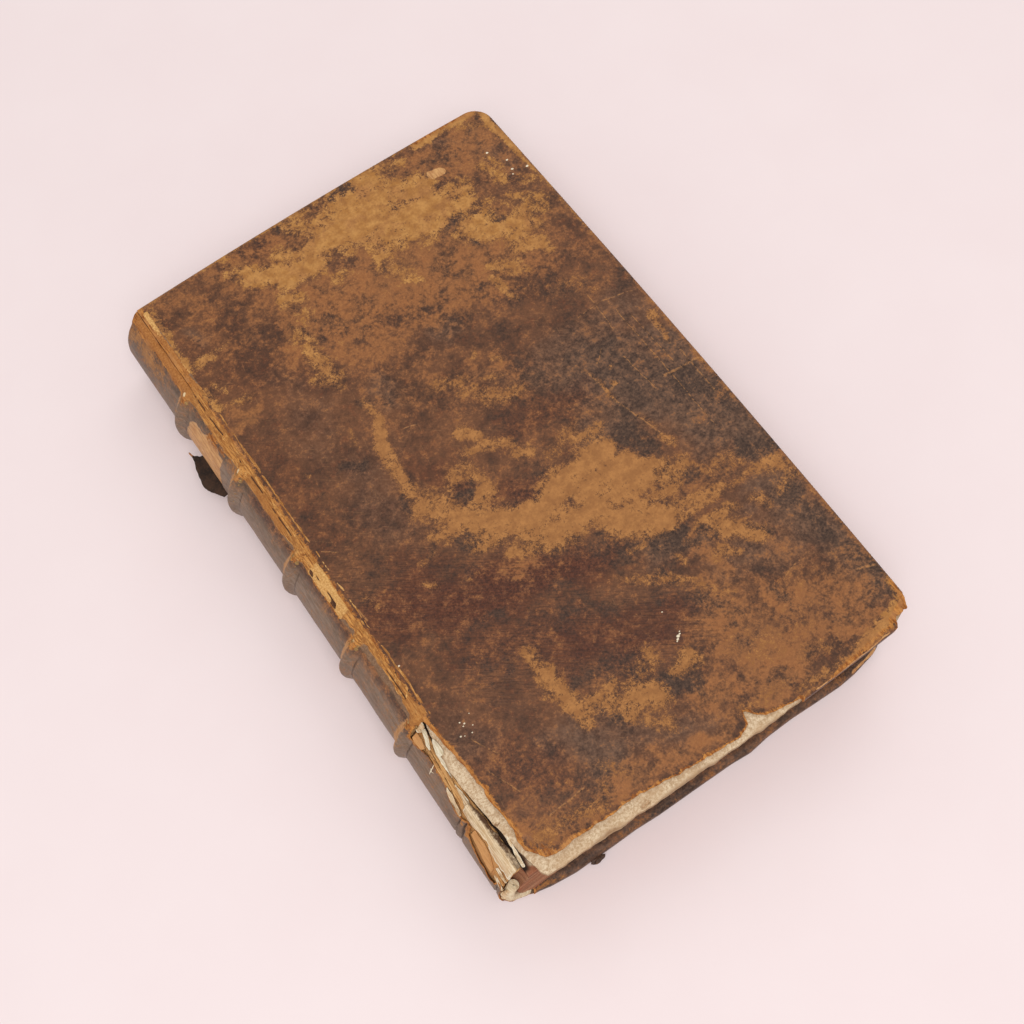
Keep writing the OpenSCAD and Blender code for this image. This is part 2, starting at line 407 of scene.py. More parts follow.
def scratch_marks(paint):
    """The strongest of the thin scratches at each place."""
    best = None
    wobble = paint.noise(7, 3)
    split = paint.node("SeparateXYZ", {0: paint.place})
    x = paint.math("MULTIPLY_ADD", wobble, 1.6, paint.math("SUBTRACT", split.outputs[0], 0.8))
    y = paint.math("MULTIPLY_ADD", wobble, -1.6, paint.plus(split.outputs[1], 0.8))
    for x1, y1, x2, y2, width in SCRATCHES:
        length = math.hypot(x2 - x1, y2 - y1)
        ux, uy = (x2 - x1) / length, (y2 - y1) / length
        near_x = paint.math("SUBTRACT", x, x1)
        near_y = paint.math("SUBTRACT", y, y1)
        along = paint.math("MULTIPLY_ADD", near_x, ux, paint.times(near_y, uy))
        across = paint.math("MULTIPLY_ADD", near_x, -uy, paint.times(near_y, ux))
        over = paint.math("SUBTRACT", along, paint.math("MINIMUM", paint.math("MAXIMUM", along, 0.0), length))
        away = paint.math("SQRT", paint.math("MULTIPLY_ADD", over, over, paint.times(across, across)))
        line = paint.ramp(away, 0.2 * width, 0.75 * width, 1.0, 0.0)
        best = line if best is None else paint.math("MAXIMUM", best, line)
    return best


def calf(name, dark, middle, warm, scratched=False, painted_sheen=0.0):
    """Old calf: mottled brown, rubbed to tan, blackened in places, and orange where it is torn."""
    paint = Paint(name, specular=0.22)
    broad = paint.noise(24, 4, 0.6)
    cloud = paint.noise(9, 6, 0.62, distortion=0.5)
    torn = paint.noise(3.6, 8, 0.7)
    fine = paint.noise(1.2, 6, 0.72)
    dust = paint.noise(0.5, 3, 0.6)
    fibre = paint.noise(1, 5, 0.6, paint.stretch(0.9, 0.16, 0.9))
    grain = paint.noise(1, 5, 0.62, paint.stretch(0.12, 1.1, 1, turn=35))
    broken = paint.swing((broad, 0.7), (cloud, 1.3), (torn, 1.9), (fine, 2.0), (dust, 1.4))
    gentle = paint.swing((broad, 1.0), (cloud, 1.8), (torn, 2.0), (fine, 1.2), (dust, 0.6))

    base = paint.between(cloud, 0.3, 0.72, dark, middle)
    base = paint.patches(base, broad, 0.44, 0.6, 0.5, warm)
    base = paint.patches(base, torn, 0.5, 0.68, 0.35, (118, 60, 34))
    red_brown = paint.between(cloud, 0.34, 0.66, (84, 49, 34), (114, 67, 42))
    ruddy = paint.shifted("ruddy", broken, 0.5, 0.1, 0.9)
    base = paint.mix(paint.times(ruddy, 0.85), base, red_brown)
    grey_brown = paint.between(torn, 0.34, 0.66, (88, 66, 54), (118, 91, 72))
    ashen = paint.shifted("ashen", broken, 0.6, 0.1, 0.9)
    base = paint.mix(paint.times(ashen, 0.65), base, grey_brown)
    hairs = paint.noise(1, 3, 0.6, paint.stretch(0.07, 1.5, 1, turn=40))
    more_hairs = paint.noise(1, 3, 0.6, paint.stretch(1.4, 0.08, 1, turn=12))
    hair = paint.math("MAXIMUM", paint.ramp(hairs, 0.62, 0.7), paint.ramp(more_hairs, 0.64, 0.72))
    base = paint.mix(paint.times(hair, 0.28), base, srgb(166, 118, 76))
    sunny = paint.between(cloud, 0.3, 0.7, (128, 85, 53), (160, 102, 58))
    sunny = paint.patches(sunny, torn, 0.42, 0.66, 0.5, (142, 92, 54))
    sunny = paint.patches(sunny, fine, 0.5, 0.66, 0.5, (176, 116, 64))
    warm_share = paint.shifted("warm", gentle, 1.1, 0.1, 1.0)
    base = paint.mix(paint.times(warm_share, 0.9), base, sunny)
    lines = paint.times(paint.ramp(grain, 0.46, 0.62), paint.mark("grain"))
    base = paint.mix(paint.times(lines, 0.5), base, srgb(58, 36, 28))
    black = paint.shifted("dark", gentle, -0.9, 0.1, 1.05)
    soot = paint.between(fine, 0.35, 0.65, (58, 42, 35), (86, 64, 50))
    soot = paint.mix(ruddy, soot, paint.between(fine, 0.35, 0.65, (68, 38, 28), (98, 54, 36)))
    base = paint.mix(paint.times(black, 0.92), base, soot)
    specks = paint.times(paint.ramp(paint.noise(2.4, 5, 0.62), 0.62, 0.7), 0.4)
    base = paint.mix(specks, base, srgb(56, 40, 32))
    flecks = paint.times(paint.ramp(fine, 0.6, 0.72), paint.ramp(torn, 0.46, 0.62, 0.0, 0.45))
    base = paint.mix(flecks, base, srgb(164, 112, 66))

    tone = paint.times(paint.ramp(fine, 0.3, 0.7, 0.82, 1.16), paint.ramp(torn, 0.3, 0.7, 0.88, 1.12))
    base = paint.mix(1.0, base, tone, "MULTIPLY")
    worn = paint.plus(paint.mark("rub"), broken)
    soft = paint.noise(5, 5, 0.6)
    tan = paint.between(soft, 0.34, 0.66, (156, 105, 61), (182, 126, 73))
    bright = paint.between(soft, 0.34, 0.66, (170, 116, 60), (200, 145, 82))
    tan = paint.mix(paint.times(paint.mark("sun"), paint.ramp(cloud, 0.3, 0.6)), tan, bright)
    tan = paint.patches(tan, torn, 0.54, 0.7, 0.35, (128, 84, 50))
    tan = paint.mix(paint.ramp(fine, 0.34, 0.66, 0.3, 0.0), tan, srgb(128, 86, 52))
    base = paint.patches(base, worn, 0.05, 0.75, 0.6, (140, 92, 56))
    rub = paint.ramp(worn, 0.42, 0.78)
    base = paint.mix(paint.times(rub, 0.95), base, tan)
    pale_skin = paint.between(fibre, 0.3, 0.7, (172, 118, 72), (212, 162, 106))
    base = paint.mix(paint.soft_mask("pale", torn, 0.44, 0.56, 0.7), base, pale_skin)
    if painted_sheen:
        # Painted sheen: where its mark is high the leather turns lighter and greyer, for the reflection at
        # grazing angles
        sheen_colour = paint.between(fibre, 0.3, 0.7, (124, 100, 80), (154, 134, 118))
        base = paint.mix(paint.times(paint.mark("painted_sheen"), painted_sheen), base, sheen_colour)
        # Painted shade: the crease mark darkens the leather in the folds and beside the bands
        crease = paint.shifted("crease", broken, 0.2, 0.3, 0.8)
        base = paint.mix(paint.times(crease, 0.85), base, srgb(62, 40, 28))
        crest = paint.shifted("crest", broken, 0.6, 0.2, 0.65)
        base = paint.mix(crest, base, paint.mix(fibre, srgb(172, 114, 60), srgb(206, 156, 104)))
    flesh = paint.between(fibre, 0.34, 0.66, (134, 74, 32), (202, 136, 68))
    flesh = paint.patches(flesh, fine, 0.5, 0.68, 0.6, (98, 58, 32))
    flesh = paint.patches(flesh, cloud, 0.5, 0.64, 0.6, (182, 128, 80))
    raw = paint.shifted("raw", broken, 0.7, 0.35, 0.65)
    base = paint.mix(raw, base, flesh)
    height = paint.math("MULTIPLY_ADD", rub, -0.4, paint.times(torn, 0.8))
    if scratched:
        scratch = scratch_marks(paint)
        shown = paint.times(scratch, paint.ramp(paint.plus(fine, torn), 0.85, 1.15))
        base = paint.mix(paint.times(shown, 0.75), base, srgb(176, 122, 72))
        height = paint.math("MULTIPLY_ADD", scratch, -0.5, height)
    paint.colour(base)
    paint.set("Roughness", paint.ramp(paint.plus(rub, raw), 0.0, 1.0, 0.48, 0.82))
    pores = paint.cells(0.55)
    skin = paint.bump(pores, 0.05, 0.5)
    skin = paint.bump(lines, 0.08, 0.7, skin)
    skin = paint.bump(fine, 0.12, 0.5, skin)
    paint.set("Normal", paint.bump(height, 0.28, 0.8, skin))
    return paint.material


def pasteboard(name):
    """Layered greyish cream board with matted fibres and foxed spots."""
    paint = Paint(name, roughness=0.9, specular=0.2)
    matted = paint.noise(1.1, 7, 0.7, distortion=0.5)
    broad = paint.noise(8, 5, 0.6)
    layers = paint.noise(1, 4, 0.6, paint.stretch(0.1, 0.1, 2.2))
    base = paint.between(matted, 0.38, 0.62, (182, 151, 117), (226, 203, 171))
    base = paint.patches(base, broad, 0.4, 0.7, 0.6, (186, 151, 114))
    base = paint.patches(base, paint.noise(2.6, 5, 0.6), 0.6, 0.72, 0.4, (236, 216, 186))
    # The stain mark browns the board: foxing, and painted shade in the front board's crack and on its sides
    stain = paint.soft_mask("stain", matted, 0.4, 0.8, 0.9)
    base = paint.mix(paint.times(stain, 0.8), base, srgb(132, 92, 58))
    paint.colour(base)
    fibres = paint.bump(matted, 0.16, 0.7)
    paint.set("Normal", paint.bump(layers, 0.2, 0.6, fibres))
    return paint.material


# The front cover's leather, read from the joint side of the photo: worn strokes in cover millimetres
RUBBED = [
    (-46, 147, -32, 141, 6, 1.13), (-32, 137, -16, 134, 6, 1.13), (-14, 140, 0, 146, 9, 1.07),
    (-8, 152, 6, 156, 6, 0.9), (2, 143, 24, 142, 12, 1.19), (12, 158, 30, 158, 8, 1.02),
    (26, 150, 40, 146, 7, 0.96), (22, 133, 48, 130, 9, 1.19), (34, 120, 42, 119, 4, 1.02),
    (48, 124, 58, 122, 6, 0.96), (52, 110, 64, 108, 6, 1.0), (56, 102, 76, 96, 6, 1.0),
    (66, 92, 80, 91, 4, 0.85), (52, 84, 60, 80, 4, 0.8), (65, 86, 76, 82, 3.5, 0.9),
    (74, 80, 78, 75, 2, 0.7), (48, 78, 49, 70, 2.5, 0.85), (57, 76, 63, 73, 3, 0.7),
    (49, 67, 49, 64, 1.5, 0.8), (83, 136, 85, 126, 2.5, 0.6), (88, 118, 99, 112, 3, 0.5),
    (90, 104, 99, 96, 4, 0.5), (36, 163, 48, 160, 4, 0.7), (74, 165, 95, 163, 2, 0.9),
    (84, 158, 98, 152, 3, 0.5), (-12, 163, 8, 166, 3, 0.7), (-52, 166, -52, 152, 4, 0.5),
    (-40, 120, -36, 112, 4, 0.45), (-14, 121, -8, 123, 3, 0.65), (8, 114, 16, 110, 5, 0.6),
    (14, 106, 18, 100, 3, 0.65), (-48, 106, -44, 100, 4, 0.55), (-44, 97, -42, 76, 4, 0.85),
    (30, 147, 50, 141, 7, 1.13), (14, 130, 36, 120, 8, 1.02), (-28, 150, -22, 146, 4, 0.9),
    (-10, 138, 0, 133, 5, 0.75), (46, 134, 62, 130, 6, 0.96), (-16, 161, -8, 154, 5, 0.8),
    (77, 133, 81, 122, 3, 0.7), (78, 110, 90, 100, 4, 0.6), (-40, 126, -35, 122, 4, 0.9),
    (-2, 44, 2, 40, 3, 0.7), (20, -88, 25, -93, 4, 0.7), (48, -94, 53, -98, 3, 0.7),
    (84, -12, 88, -16, 3, 0.4), (56, 66, 78, 50, 6, 0.3), (62, 164.2, 99, 164.2, 3.2, 1.3),
    (99.2, 162, 99.4, 130, 2.6, 1.2), (99.6, 128, 99.8, 96, 1.2, 0.8), (98.6, -147, 97, -159, 1.6, 1.1),
    (93, -159, 80, -162, 3.2, 1.2), (82, -160, 60, -163.5, 2.6, 0.95), (-91, 124, -84, 121, 2.6, 0.95),
    (-95, 108, -94, 96, 2.5, 0.9), (-44, 108, -40, 102, 3.6, 0.8), (-48, 80, -42, 73, 3.6, 0.7),
    (46, 108, 50, 106, 3, 0.9), (80, 101, 89, 97, 4, 0.85), (8, 120, 34, 118, 4, 0.75),
    (52, 119, 72, 117, 3, 0.65), (12, -152, 34, -155, 4, 0.55), (50, -152, 60, -156, 4, 0.55),
    (-14, -117, -7, -111, 4.5, 0.65), (-94, 124, -74, 123, 1.2, 0.65), (-90, 110, -86, 104, 2, 0.5),
    (-88, 96, -80, 94, 2, 0.6), (40, 156, 48, 158, 2.5, 0.6), (-96, 160, -96, 122, 2.6, 0.8),
    (-40, 58, -41.5, 44, 2.2, 0.75), (-41.5, 44, -44.5, 24, 2.8, 0.95), (-44.5, 24, -46.5, 8, 2.8, 0.9),
    (-46, 10, -44, 0, 4, 0.6), (-44, 0, -36, -12, 7, 0.9), (-30, -2, -20, 3, 4, 0.65),
    (-26, 4, -18, -4, 4, 0.7), (-48, -14, -36, -18, 5, 0.75), (-62, -20, -54, -20, 2, 0.5),
    (-34, -14, -18, -12, 5, 0.85), (-30, -20, -10, -30, 6, 1.0), (-37, -26, -20, -31, 4.5, 0.9),
    (-26, -40, -12, -46, 4, 0.75), (-14, -36, 12, -28, 9, 1.1), (10, -26, 38, -26, 6, 1.05),
    (18, -34, 38, -39, 8.5, 1.1), (-8, -46, 44, -44, 7, 1.05), (40, -46, 52, -48, 5, 0.8),
    (0, -24, 4, -22, 3, 0.9), (30, -14, 40, -16, 4, 0.7), (16, -12, 30, -8, 5, 0.5),
    (2, -2, 8, -4, 3, 0.75), (-5, 8, 2, 3, 3.5, 0.65), (-12, 20, -8, 16, 3, 0.85),
    (-14, 10, -8, 10, 4, 0.6), (-6, 46, 4, 42, 4, 0.65), (0, 36, 6, 34, 3, 0.55), (8, 28, 22, 22, 5, 0.65),
    (12, 36, 18, 34, 3, 0.55), (16, 49, 18, 53, 1.5, 0.7), (22, 42, 26, 40, 1.5, 0.6),
    (54, 4, 55, -8, 1.2, 0.8), (52, 14, 54, -2, 0.9, 0.5), (59, 0, 61, -1, 1.3, 0.9),
    (62, 5, 64, 8, 1, 0.7), (94, 18, 93, 4, 1.5, 0.75), (-66, -30, -63, -32, 1.8, 0.9),
    (-48, -38, -43, -39, 1.8, 0.7), (-53, 52, -54, 46, 1.2, 0.5), (-81, 44, -79, 42, 1, 0.6),
    (62, -36, 64, -40, 2, 0.6), (52, -32, 54, -34, 1.5, 0.7), (60, -22, 62, -30, 1.5, 0.5),
    (-90, -22, -86, -28, 2, 0.5), (-2, -52, 10, -50, 4, 0.8), (20, -54, 36, -66, 9, 1.05),
    (40, -56, 60, -50, 5, 0.7), (44, -64, 66, -68, 4, 0.75), (16, -70, 60, -71, 2, 0.8),
    (62, -54, 70, -60, 4, 0.5), (60, -70, 98, -72, 2, 0.6), (72, -60, 82, -64, 4, 0.5),
    (88, -72, 98, -80, 5, 0.6), (88, -86, 97, -84, 4, 0.6), (48, -79, 66, -80, 3, 0.8),
    (56, -84, 66, -98, 5, 0.85), (50, -84, 56, -90, 4, 0.65), (76, -82, 80, -88, 3, 0.6),
    (34, -82, 35, -86, 2, 0.7), (4, -80, 14, -88, 3, 0.5), (-46, -82, -47, -92, 3.5, 0.7),
    (-46, -94, -45, -118, 5, 0.95), (-52, -104, -50, -104, 2, 0.6), (-40, -116, -34, -118, 4, 0.85),
    (-32, -122, -26, -130, 5, 0.9), (-28, -117, -26, -115, 3, 0.85), (-20, -124, -12, -128, 6, 1.0),
    (-16, -114, -14, -118, 3, 0.6), (-22, -136, -16, -140, 4, 0.6), (-2, -124, 8, -122, 4, 0.95),
    (2, -127, 10, -126, 3, 0.7), (32, -96, 40, -110, 4, 0.45), (-56, -150, -54, -147, 2, 0.6),
    (-90, -150, -60, -153, 4, 0.6), (36, -162, 80, -163, 2.4, 0.7), (30, -134, 60, -142, 9, 0.3),
    (60, -120, 84, -126, 8, 0.25), (-50, -143, -40, -148, 4, 0.4),
]
BLACKENED = [
    (26, 147, 28, 136, 2, 0.6), (-49, 150, -43, 147, 4, 0.5), (-58, -6, -50, -10, 4, 0.4),
    (86, -144, 96, -154, 5, 0.7), (72, -100, 98, -112, 7, 0.4), (-86, -30, -60, -50, 12, 0.5),
    (-60, -46, -20, -58, 9, 0.75), (-60, -72, -20, -82, 10, 0.55), (-48, -36, -38, -40, 4, 0.8),
    (-30, -52, -24, -56, 5, 0.8), (44, -26, 54, -38, 5, 0.9), (30, -106, 34, -116, 6, 0.7),
    (28, -128, 36, -132, 5, 0.4), (52, -118, 56, -132, 4, 0.5), (66, -94, 70, -100, 3, 0.6),
    (90, -90, 98, -146, 5, 0.75), (-85, -116, -60, -140, 12, 0.6), (-24, -5, -12, -9, 4, 0.5),
    (-18, -20, -12, -24, 3, 0.6), (38, 76, 46, 64, 6, 0.5), (8, 84, 34, 60, 9, 0.3),
    (-34, 110, -22, 92, 7, 0.35), (-38, 60, -30, 55, 4, 0.5), (10, 6, 46, 2, 7, 0.5),
    (12, 161, 18, 158, 4, 0.95), (44, 113, 54, 115, 5, 0.6), (8, 118, 4, 110, 3, 0.4),
    (-44, 161, -22, 159, 6, 0.5), (66, 108, 70, 106, 2.5, 0.7), (54, 98, 54, 96, 1.5, 0.8),
    (66, 20, 90, -35, 18, 0.55), (46, 24, 52, -22, 7, 0.55), (84, -20, 96, -36, 8, 0.9),
    (50, -24, 58, -36, 5, 0.8), (40, -22, 50, -30, 5, 0.6), (68, 56, 96, 44, 8, 0.4),
    (30, 30, 46, -6, 10, 0.5), (10, 12, 30, 6, 8, 0.45), (4, 4, 8, 2, 4, 0.6), (-28, -2, -22, -8, 4, 0.8),
    (-8, -20, -2, -24, 4, 0.9), (-16, -14, 6, -16, 6, 0.45), (-44, -22, -34, -26, 4, 0.75),
    (-44, -36, -34, -48, 5, 0.6), (-12, -60, 12, -68, 8, 0.7), (8, -58, 16, -54, 3, 0.6),
    (26, -74, 48, -82, 6, 0.85), (18, -84, 30, -82, 4, 0.5), (54, -56, 66, -58, 4, 0.6),
    (70, -54, 80, -56, 5, 0.5), (88, -60, 96, -66, 5, 1.05), (74, -66, 82, -68, 4, 0.5),
    (-40, -100, -10, -92, 8, 0.5), (-30, -106, -10, -112, 6, 0.7), (-10, -104, 6, -108, 5, 0.55),
    (14, -98, 28, -108, 6, 0.5), (-68, -116, -60, -124, 5, 0.6), (-88, -108, -60, -140, 12, 0.35),
    (-38, -120, -34, -128, 4, 0.75), (-6, -128, 4, -134, 5, 0.75), (-20, -118, -14, -120, 2, 0.5),
    (84, -92, 98, -128, 8, 0.55), (60, -106, 80, -110, 8, 0.4), (-58, -85, -57, -85, 2.2, 1.1),
    (-69, -85, -68, -85, 1.5, 0.9), (-61, 34, -57, 32, 3, 0.7), (-54, 10, -52, 6, 2, 0.7),
    (-82, 136, -81, 130, 3, 0.5), (-38, 100, -36, 94, 3, 0.5), (-90, 30, -60, -40, 16, 0.2),
    (-14, 98, -8, 94, 4, 0.3), (20, 96, 32, 92, 5, 0.35), (70, 70, 80, 66, 5, 0.3),
    (64, -142, 70, -146, 3, 0.4), (90, 146, 96, 134, 5, 0.35), (62, 156, 76, 148, 6, 0.3),
]
WARMED = [
    (-38, 114, 60, 92, 22, 0.8), (-30, 84, 30, 78, 10, 0.55), (0, 126, 30, 112, 8, 0.9),
    (50, 92, 96, 84, 8, 0.6), (60, 70, 95, 62, 6, 0.35), (-60, 150, -52, 130, 5, 0.5),
    (30, -104, 50, -112, 8, 0.6), (24, -120, 84, -138, 15, 0.7), (0, -138, 74, -153, 11, 0.8),
    (-90, -151, 0, -154, 6, 0.8), (36, -86, 48, -98, 5, 0.75), (-30, -52, -10, -58, 8, 0.5),
    (-95, 88, -80, 90, 2, 1.1), (-92, 96, -84, 95, 2.5, 0.9), (50, -60, 64, -62, 6, 0.5),
    (-70, 130, -50, 100, 16, 0.45), (-50, 150, 90, 150, 16, 0.7), (60, 140, 92, 120, 12, 0.6),
    (-20, 60, 20, 30, 16, 0.4), (-90, 160, -60, 140, 10, 0.4), (-96, -130, -90, -150, 5, 0.8),
    (24, -157, 42, -153, 8, 1.2),
]
GRAINED = [
    (-92, -24, -20, -60, 24, 1.0), (-60, -76, 12, -104, 22, 1.0), (30, -56, 60, -66, 10, 0.5),
    (-90, 60, -60, 0, 14, 0.35),
]
PALE = [
    (56.4, 144.6, 61, 143.2, 3.0, 1.0), (10, -159, 12, -161, 1, 0.6), (42, -165.3, 82, -165.3, 0.5, 0.9),
]
RUDDY = [
    (-88, -30, -60, -45, 14, 1.0), (-60, -46, -5, -62, 12, 1.0), (-70, -70, -40, -76, 14, 0.6),
    (-36, -86, 8, -108, 14, 0.9), (-85, -110, -62, -124, 12, 0.5), (-90, 62, -88, 10, 9, 0.45),
    (-34, 20, -25, 8, 9, 0.6), (-92, 130, -56, 90, 18, 0.4), (20, 96, 44, 72, 14, 0.3),
    (-12, -14, 0, -20, 8, 0.6), (8, 6, 48, 6, 10, 0.55), (56, 62, 95, 74, 12, 0.35),
    (-50, 160, -24, 158, 6, 0.5), (36, -142, 60, -148, 7, 0.5), (-70, -20, -54, -26, 8, 0.6),
]
ASHEN = [
    (60, 8, 92, -42, 18, 1.0), (40, -18, 60, -8, 8, 0.7), (88, 4, 97, -62, 10, 0.9),
    (84, -84, 96, -140, 13, 0.75), (40, 26, 95, 24, 12, 0.55), (-60, 88, -68, 58, 10, 0.35),
    (-58, 34, -58, 0, 12, 0.4), (-34, 60, -30, 57, 5, 0.6), (4, 70, 12, 72, 6, 0.6),
    (-56, -122, -46, -140, 9, 0.8), (-38, -132, -8, -150, 9, 0.55), (-82, 136, -81, 131, 4, 0.7),
    (50, -100, 74, -106, 11, 0.55), (86, 150, 92, 128, 9, 0.6), (26, -76, 46, -82, 6, 0.8),
    (8, 40, 20, 28, 6, 0.4), (66, 158, 80, 148, 6, 0.5), (-96, -92, -84, -104, 8, 0.4),
]
# Leather scuffed through to its flesh along the front cover's edges
SCUFFED_THROUGH = [
    (62, 165.6, 97, 165.4, 2.5, 0.85), (99.3, -148, 98.4, -158, 1.2, 1.0), (97, -159, 88, -162, 2.0, 1.0),
    (86, -163.6, 50, -165.6, 1.3, 0.7), (-96, -151, -88, -155, 3.0, 0.6),
]

# The torn edge of the front cover's leather, from the joint round to the tail edge
COVER_RIM = [
    (-99.8, -80), (-99.6, -86), (-98.6, -94.9), (-97.4, -104), (-96.8, -111.6), (-96.1, -117.4),
    (-96.4, -125.4), (-95.7, -133.4), (-95.5, -140.5), (-96.8, -146.5), (-96.6, -150.5), (-94.2, -153.2),
    (-90.9, -156.7), (-86, -157.9), (-73.2, -157.9), (-59.4, -157.5), (-43.2, -158.1), (-31, -159.7),
    (-18.6, -161.3), (-5.4, -161.8), (3.3, -162.4), (9.8, -160.6), (11.4, -155.2), (12.6, -155.4),
    (15, -158.3), (17.9, -161.3), (23.7, -162.8), (29.6, -163.9), (34, -164.6),
]
# Where the back cover's tail edge runs: places across, and their heights
LOWER_TAIL = (
    (-101, -97.8, -92.3, -80.5, -61, -48, -36, -15.6, 4, 14, 25, 39, 52, 66, 75, 82, 90, 100),
    (-160.4, -160.8, -162.1, -163.6, -163.9, -163.9, -164.7, -165, -165.4,
     -166.3, -165.1, -164.9, -165.5, -166, -165.3, -164, -162.6, -160.8),
)
# Leather scuffed pale along the back cover's tail edge, in the unrolled leather's millimetres
LOWER_SCUFFS = [
    (27, -177, 44, -177, 1.6, 0.75), (50, -177.5, 56, -177, 1.2, 0.6), (9, -176, 14, -177, 1.4, 0.4),
    (74, -171.4, 90, -170, 1.1, 0.8),
]
# The board's worn corner at the tail of the fore-edge
WORN_FOOT = [
    (78, -165.2), (83, -164.8), (88, -163.9), (93.4, -162.0), (96.6, -160.4), (98.2, -158.2), (98.9, -153),
    (99, -148),
]
# The bare board's spine edge, which swells over the joint and falls back to the tail corner
BOARD_EDGE = [
    (-99.6, -82), (-101.2, -88), (-102.3, -97), (-103.2, -105), (-102.7, -112), (-101.8, -122),
    (-100.6, -134), (-99.2, -145), (-97.6, -154), (-96, -159.9), (-94.4, -162.9),
]


def bow(y, x):
    """The head and tail edges swell a little towards their middle."""
    return y * (1 + BOW * (1 - ((x + 8) / 108) ** 2))


def bow_x(x, y):
    """The fore-edge swells a little towards its middle."""
    return x + FORE_BOW * np.clip((x + 40) / 140, 0, 1) ** 2 * (1 - (y / HEAD_Y) ** 2)


def wrap_length():
    """How far the leather reaches beyond the flat face: round the edge and turned in."""
    return math.pi * EDGE_R + SKIN_T - 2 * EDGE_R + TURN_IN - EDGE_R


def wrap_outline(away, tail_r, start_x, end_x=JOINT_X + 0.2):
    """Points at a distance outside the flat face, from the tail edge round the fore-edge to the head edge."""
    step = 1.6
    x1, y1 = FORE_X - EDGE_R, HEAD_Y - EDGE_R
    points = []
    for side, radius in ((-1, tail_r), (1, CORNER_R)):
        r = radius - EDGE_R
        turns = np.linspace(0, math.pi / 2, max(6, int((r + away) * 1.6 / step)))
        arc = np.stack([x1 - r + (r + away) * np.sin(turns), side * (y1 - r + (r + away) * np.cos(turns))], 1)
        points += arc.tolist() if side < 0 else arc[::-1].tolist()
    first, last = (start_x, -y1 - away), (end_x, y1 + away)
    return resample([first] + points + [last], step)


def wrap_place(flat, tail_r):
    """Where points of the unrolled leather lie on a cover with its outer face up, and how far they wrap."""
    x, y = flat.T
    r = np.where(y < 0, tail_r, CORNER_R) - EDGE_R
    qx = x - (FORE_X - EDGE_R) + r
    qy = np.abs(y) - (HEAD_Y - EDGE_R) + r
    corner = (qx > 0) & (qy > 0)
    reach = np.maximum(np.hypot(qx, qy), 1e-9)
    away = np.where(corner, reach - r, np.maximum(qx, qy) - r)
    toward_x = np.where(corner, qx / reach, (qx > qy).astype(float))
    toward_y = np.where(corner, qy / reach, (qx <= qy).astype(float)) * np.sign(y)
    wrapped = np.maximum(away, 0)
    bend = EDGE_R * math.pi / 2
    wall = SKIN_T - 2 * EDGE_R
    a = np.clip(wrapped / EDGE_R, 0, math.pi / 2)
    b = np.clip((wrapped - bend - wall) / EDGE_R, 0, math.pi / 2)
    under = np.maximum(wrapped - 2 * bend - wall, 0)
    out = EDGE_R * np.sin(a) - EDGE_R * (1 - np.cos(b)) - under
    drop = EDGE_R * (1 - np.cos(a)) + np.clip(wrapped - bend, 0, wall) + EDGE_R * np.sin(b)
    px = x + toward_x * (out - wrapped)
    py = y + toward_y * (out - wrapped)
    return np.stack([bow_x(px, py), bow(py, px), -drop], 1), away


def cover_sheet(loop, tail_r, step, seed):
    """Flat triangles for a cover's unrolled leather, finer where it bends round the edges."""
    full = wrap_length()
    low = (JOINT_X, -HEAD_Y - full)
    high = (FORE_X + full, HEAD_Y + full)
    points = grid_points(low, high, step, seed)
    away = wrap_place(points, tail_r)[1]
    points = points[away < -0.8]
    bend = EDGE_R * math.pi / 2
    ring_gaps = list(np.linspace(-0.5, bend, 6)) + list(np.linspace(bend, bend + SKIN_T - 2 * EDGE_R, 4)[1:])
    ring_gaps += list(np.linspace(bend + SKIN_T - 2 * EDGE_R, full - 0.6, 7)[1:])
    rings = [wrap_outline(away, tail_r, JOINT_X + 0.5, JOINT_X + 0.5) for away in ring_gaps]
    return fill(loop, np.concatenate([points] + rings), 0.55)


def upper_cover_loop():
    """The outline of the front cover's unrolled leather, and those of its points where it is torn."""
    full = wrap_length()
    rim = ragged(COVER_RIM, 0.8, 0.42, 11, 4)
    edge_y = -(HEAD_Y - EDGE_R)
    end = ragged([(34, -164.6), (35, edge_y - 2.5), (38, edge_y - full)], 0.8, 0.8, 14, 3)
    outer = wrap_outline(full, WORN_CORNER_R, 38)
    corner = smooth(25, 15, np.hypot(outer[:, 0] - 98, outer[:, 1] + 164))
    jagged = wave(np.arange(len(outer)), 0, 3, 15, 3)
    foot = smooth(106, 98, outer[:, 0]) * smooth(80, 90, outer[:, 0])
    pull = corner * (full - 1.0 + 3.4 * foot + 0.9 * jagged)
    inward = np.array([FORE_X - WORN_CORNER_R, -HEAD_Y + WORN_CORNER_R]) - outer
    outer = outer + inward / np.linalg.norm(inward, axis=1)[:, None] * pull[:, None]
    outer += (wave(np.arange(len(outer)), 0, 2.5, 16, 3) * 0.35)[:, None]
    joint = resample([(JOINT_X + 0.2, HEAD_Y - EDGE_R + full), (JOINT_X + 0.2, -80)], 1.6)
    loop = np.concatenate([joint[:-1], rim[:-1], end[:-1], outer[:-1]])
    return loop, np.concatenate([rim, end, outer[corner > 0.5]])


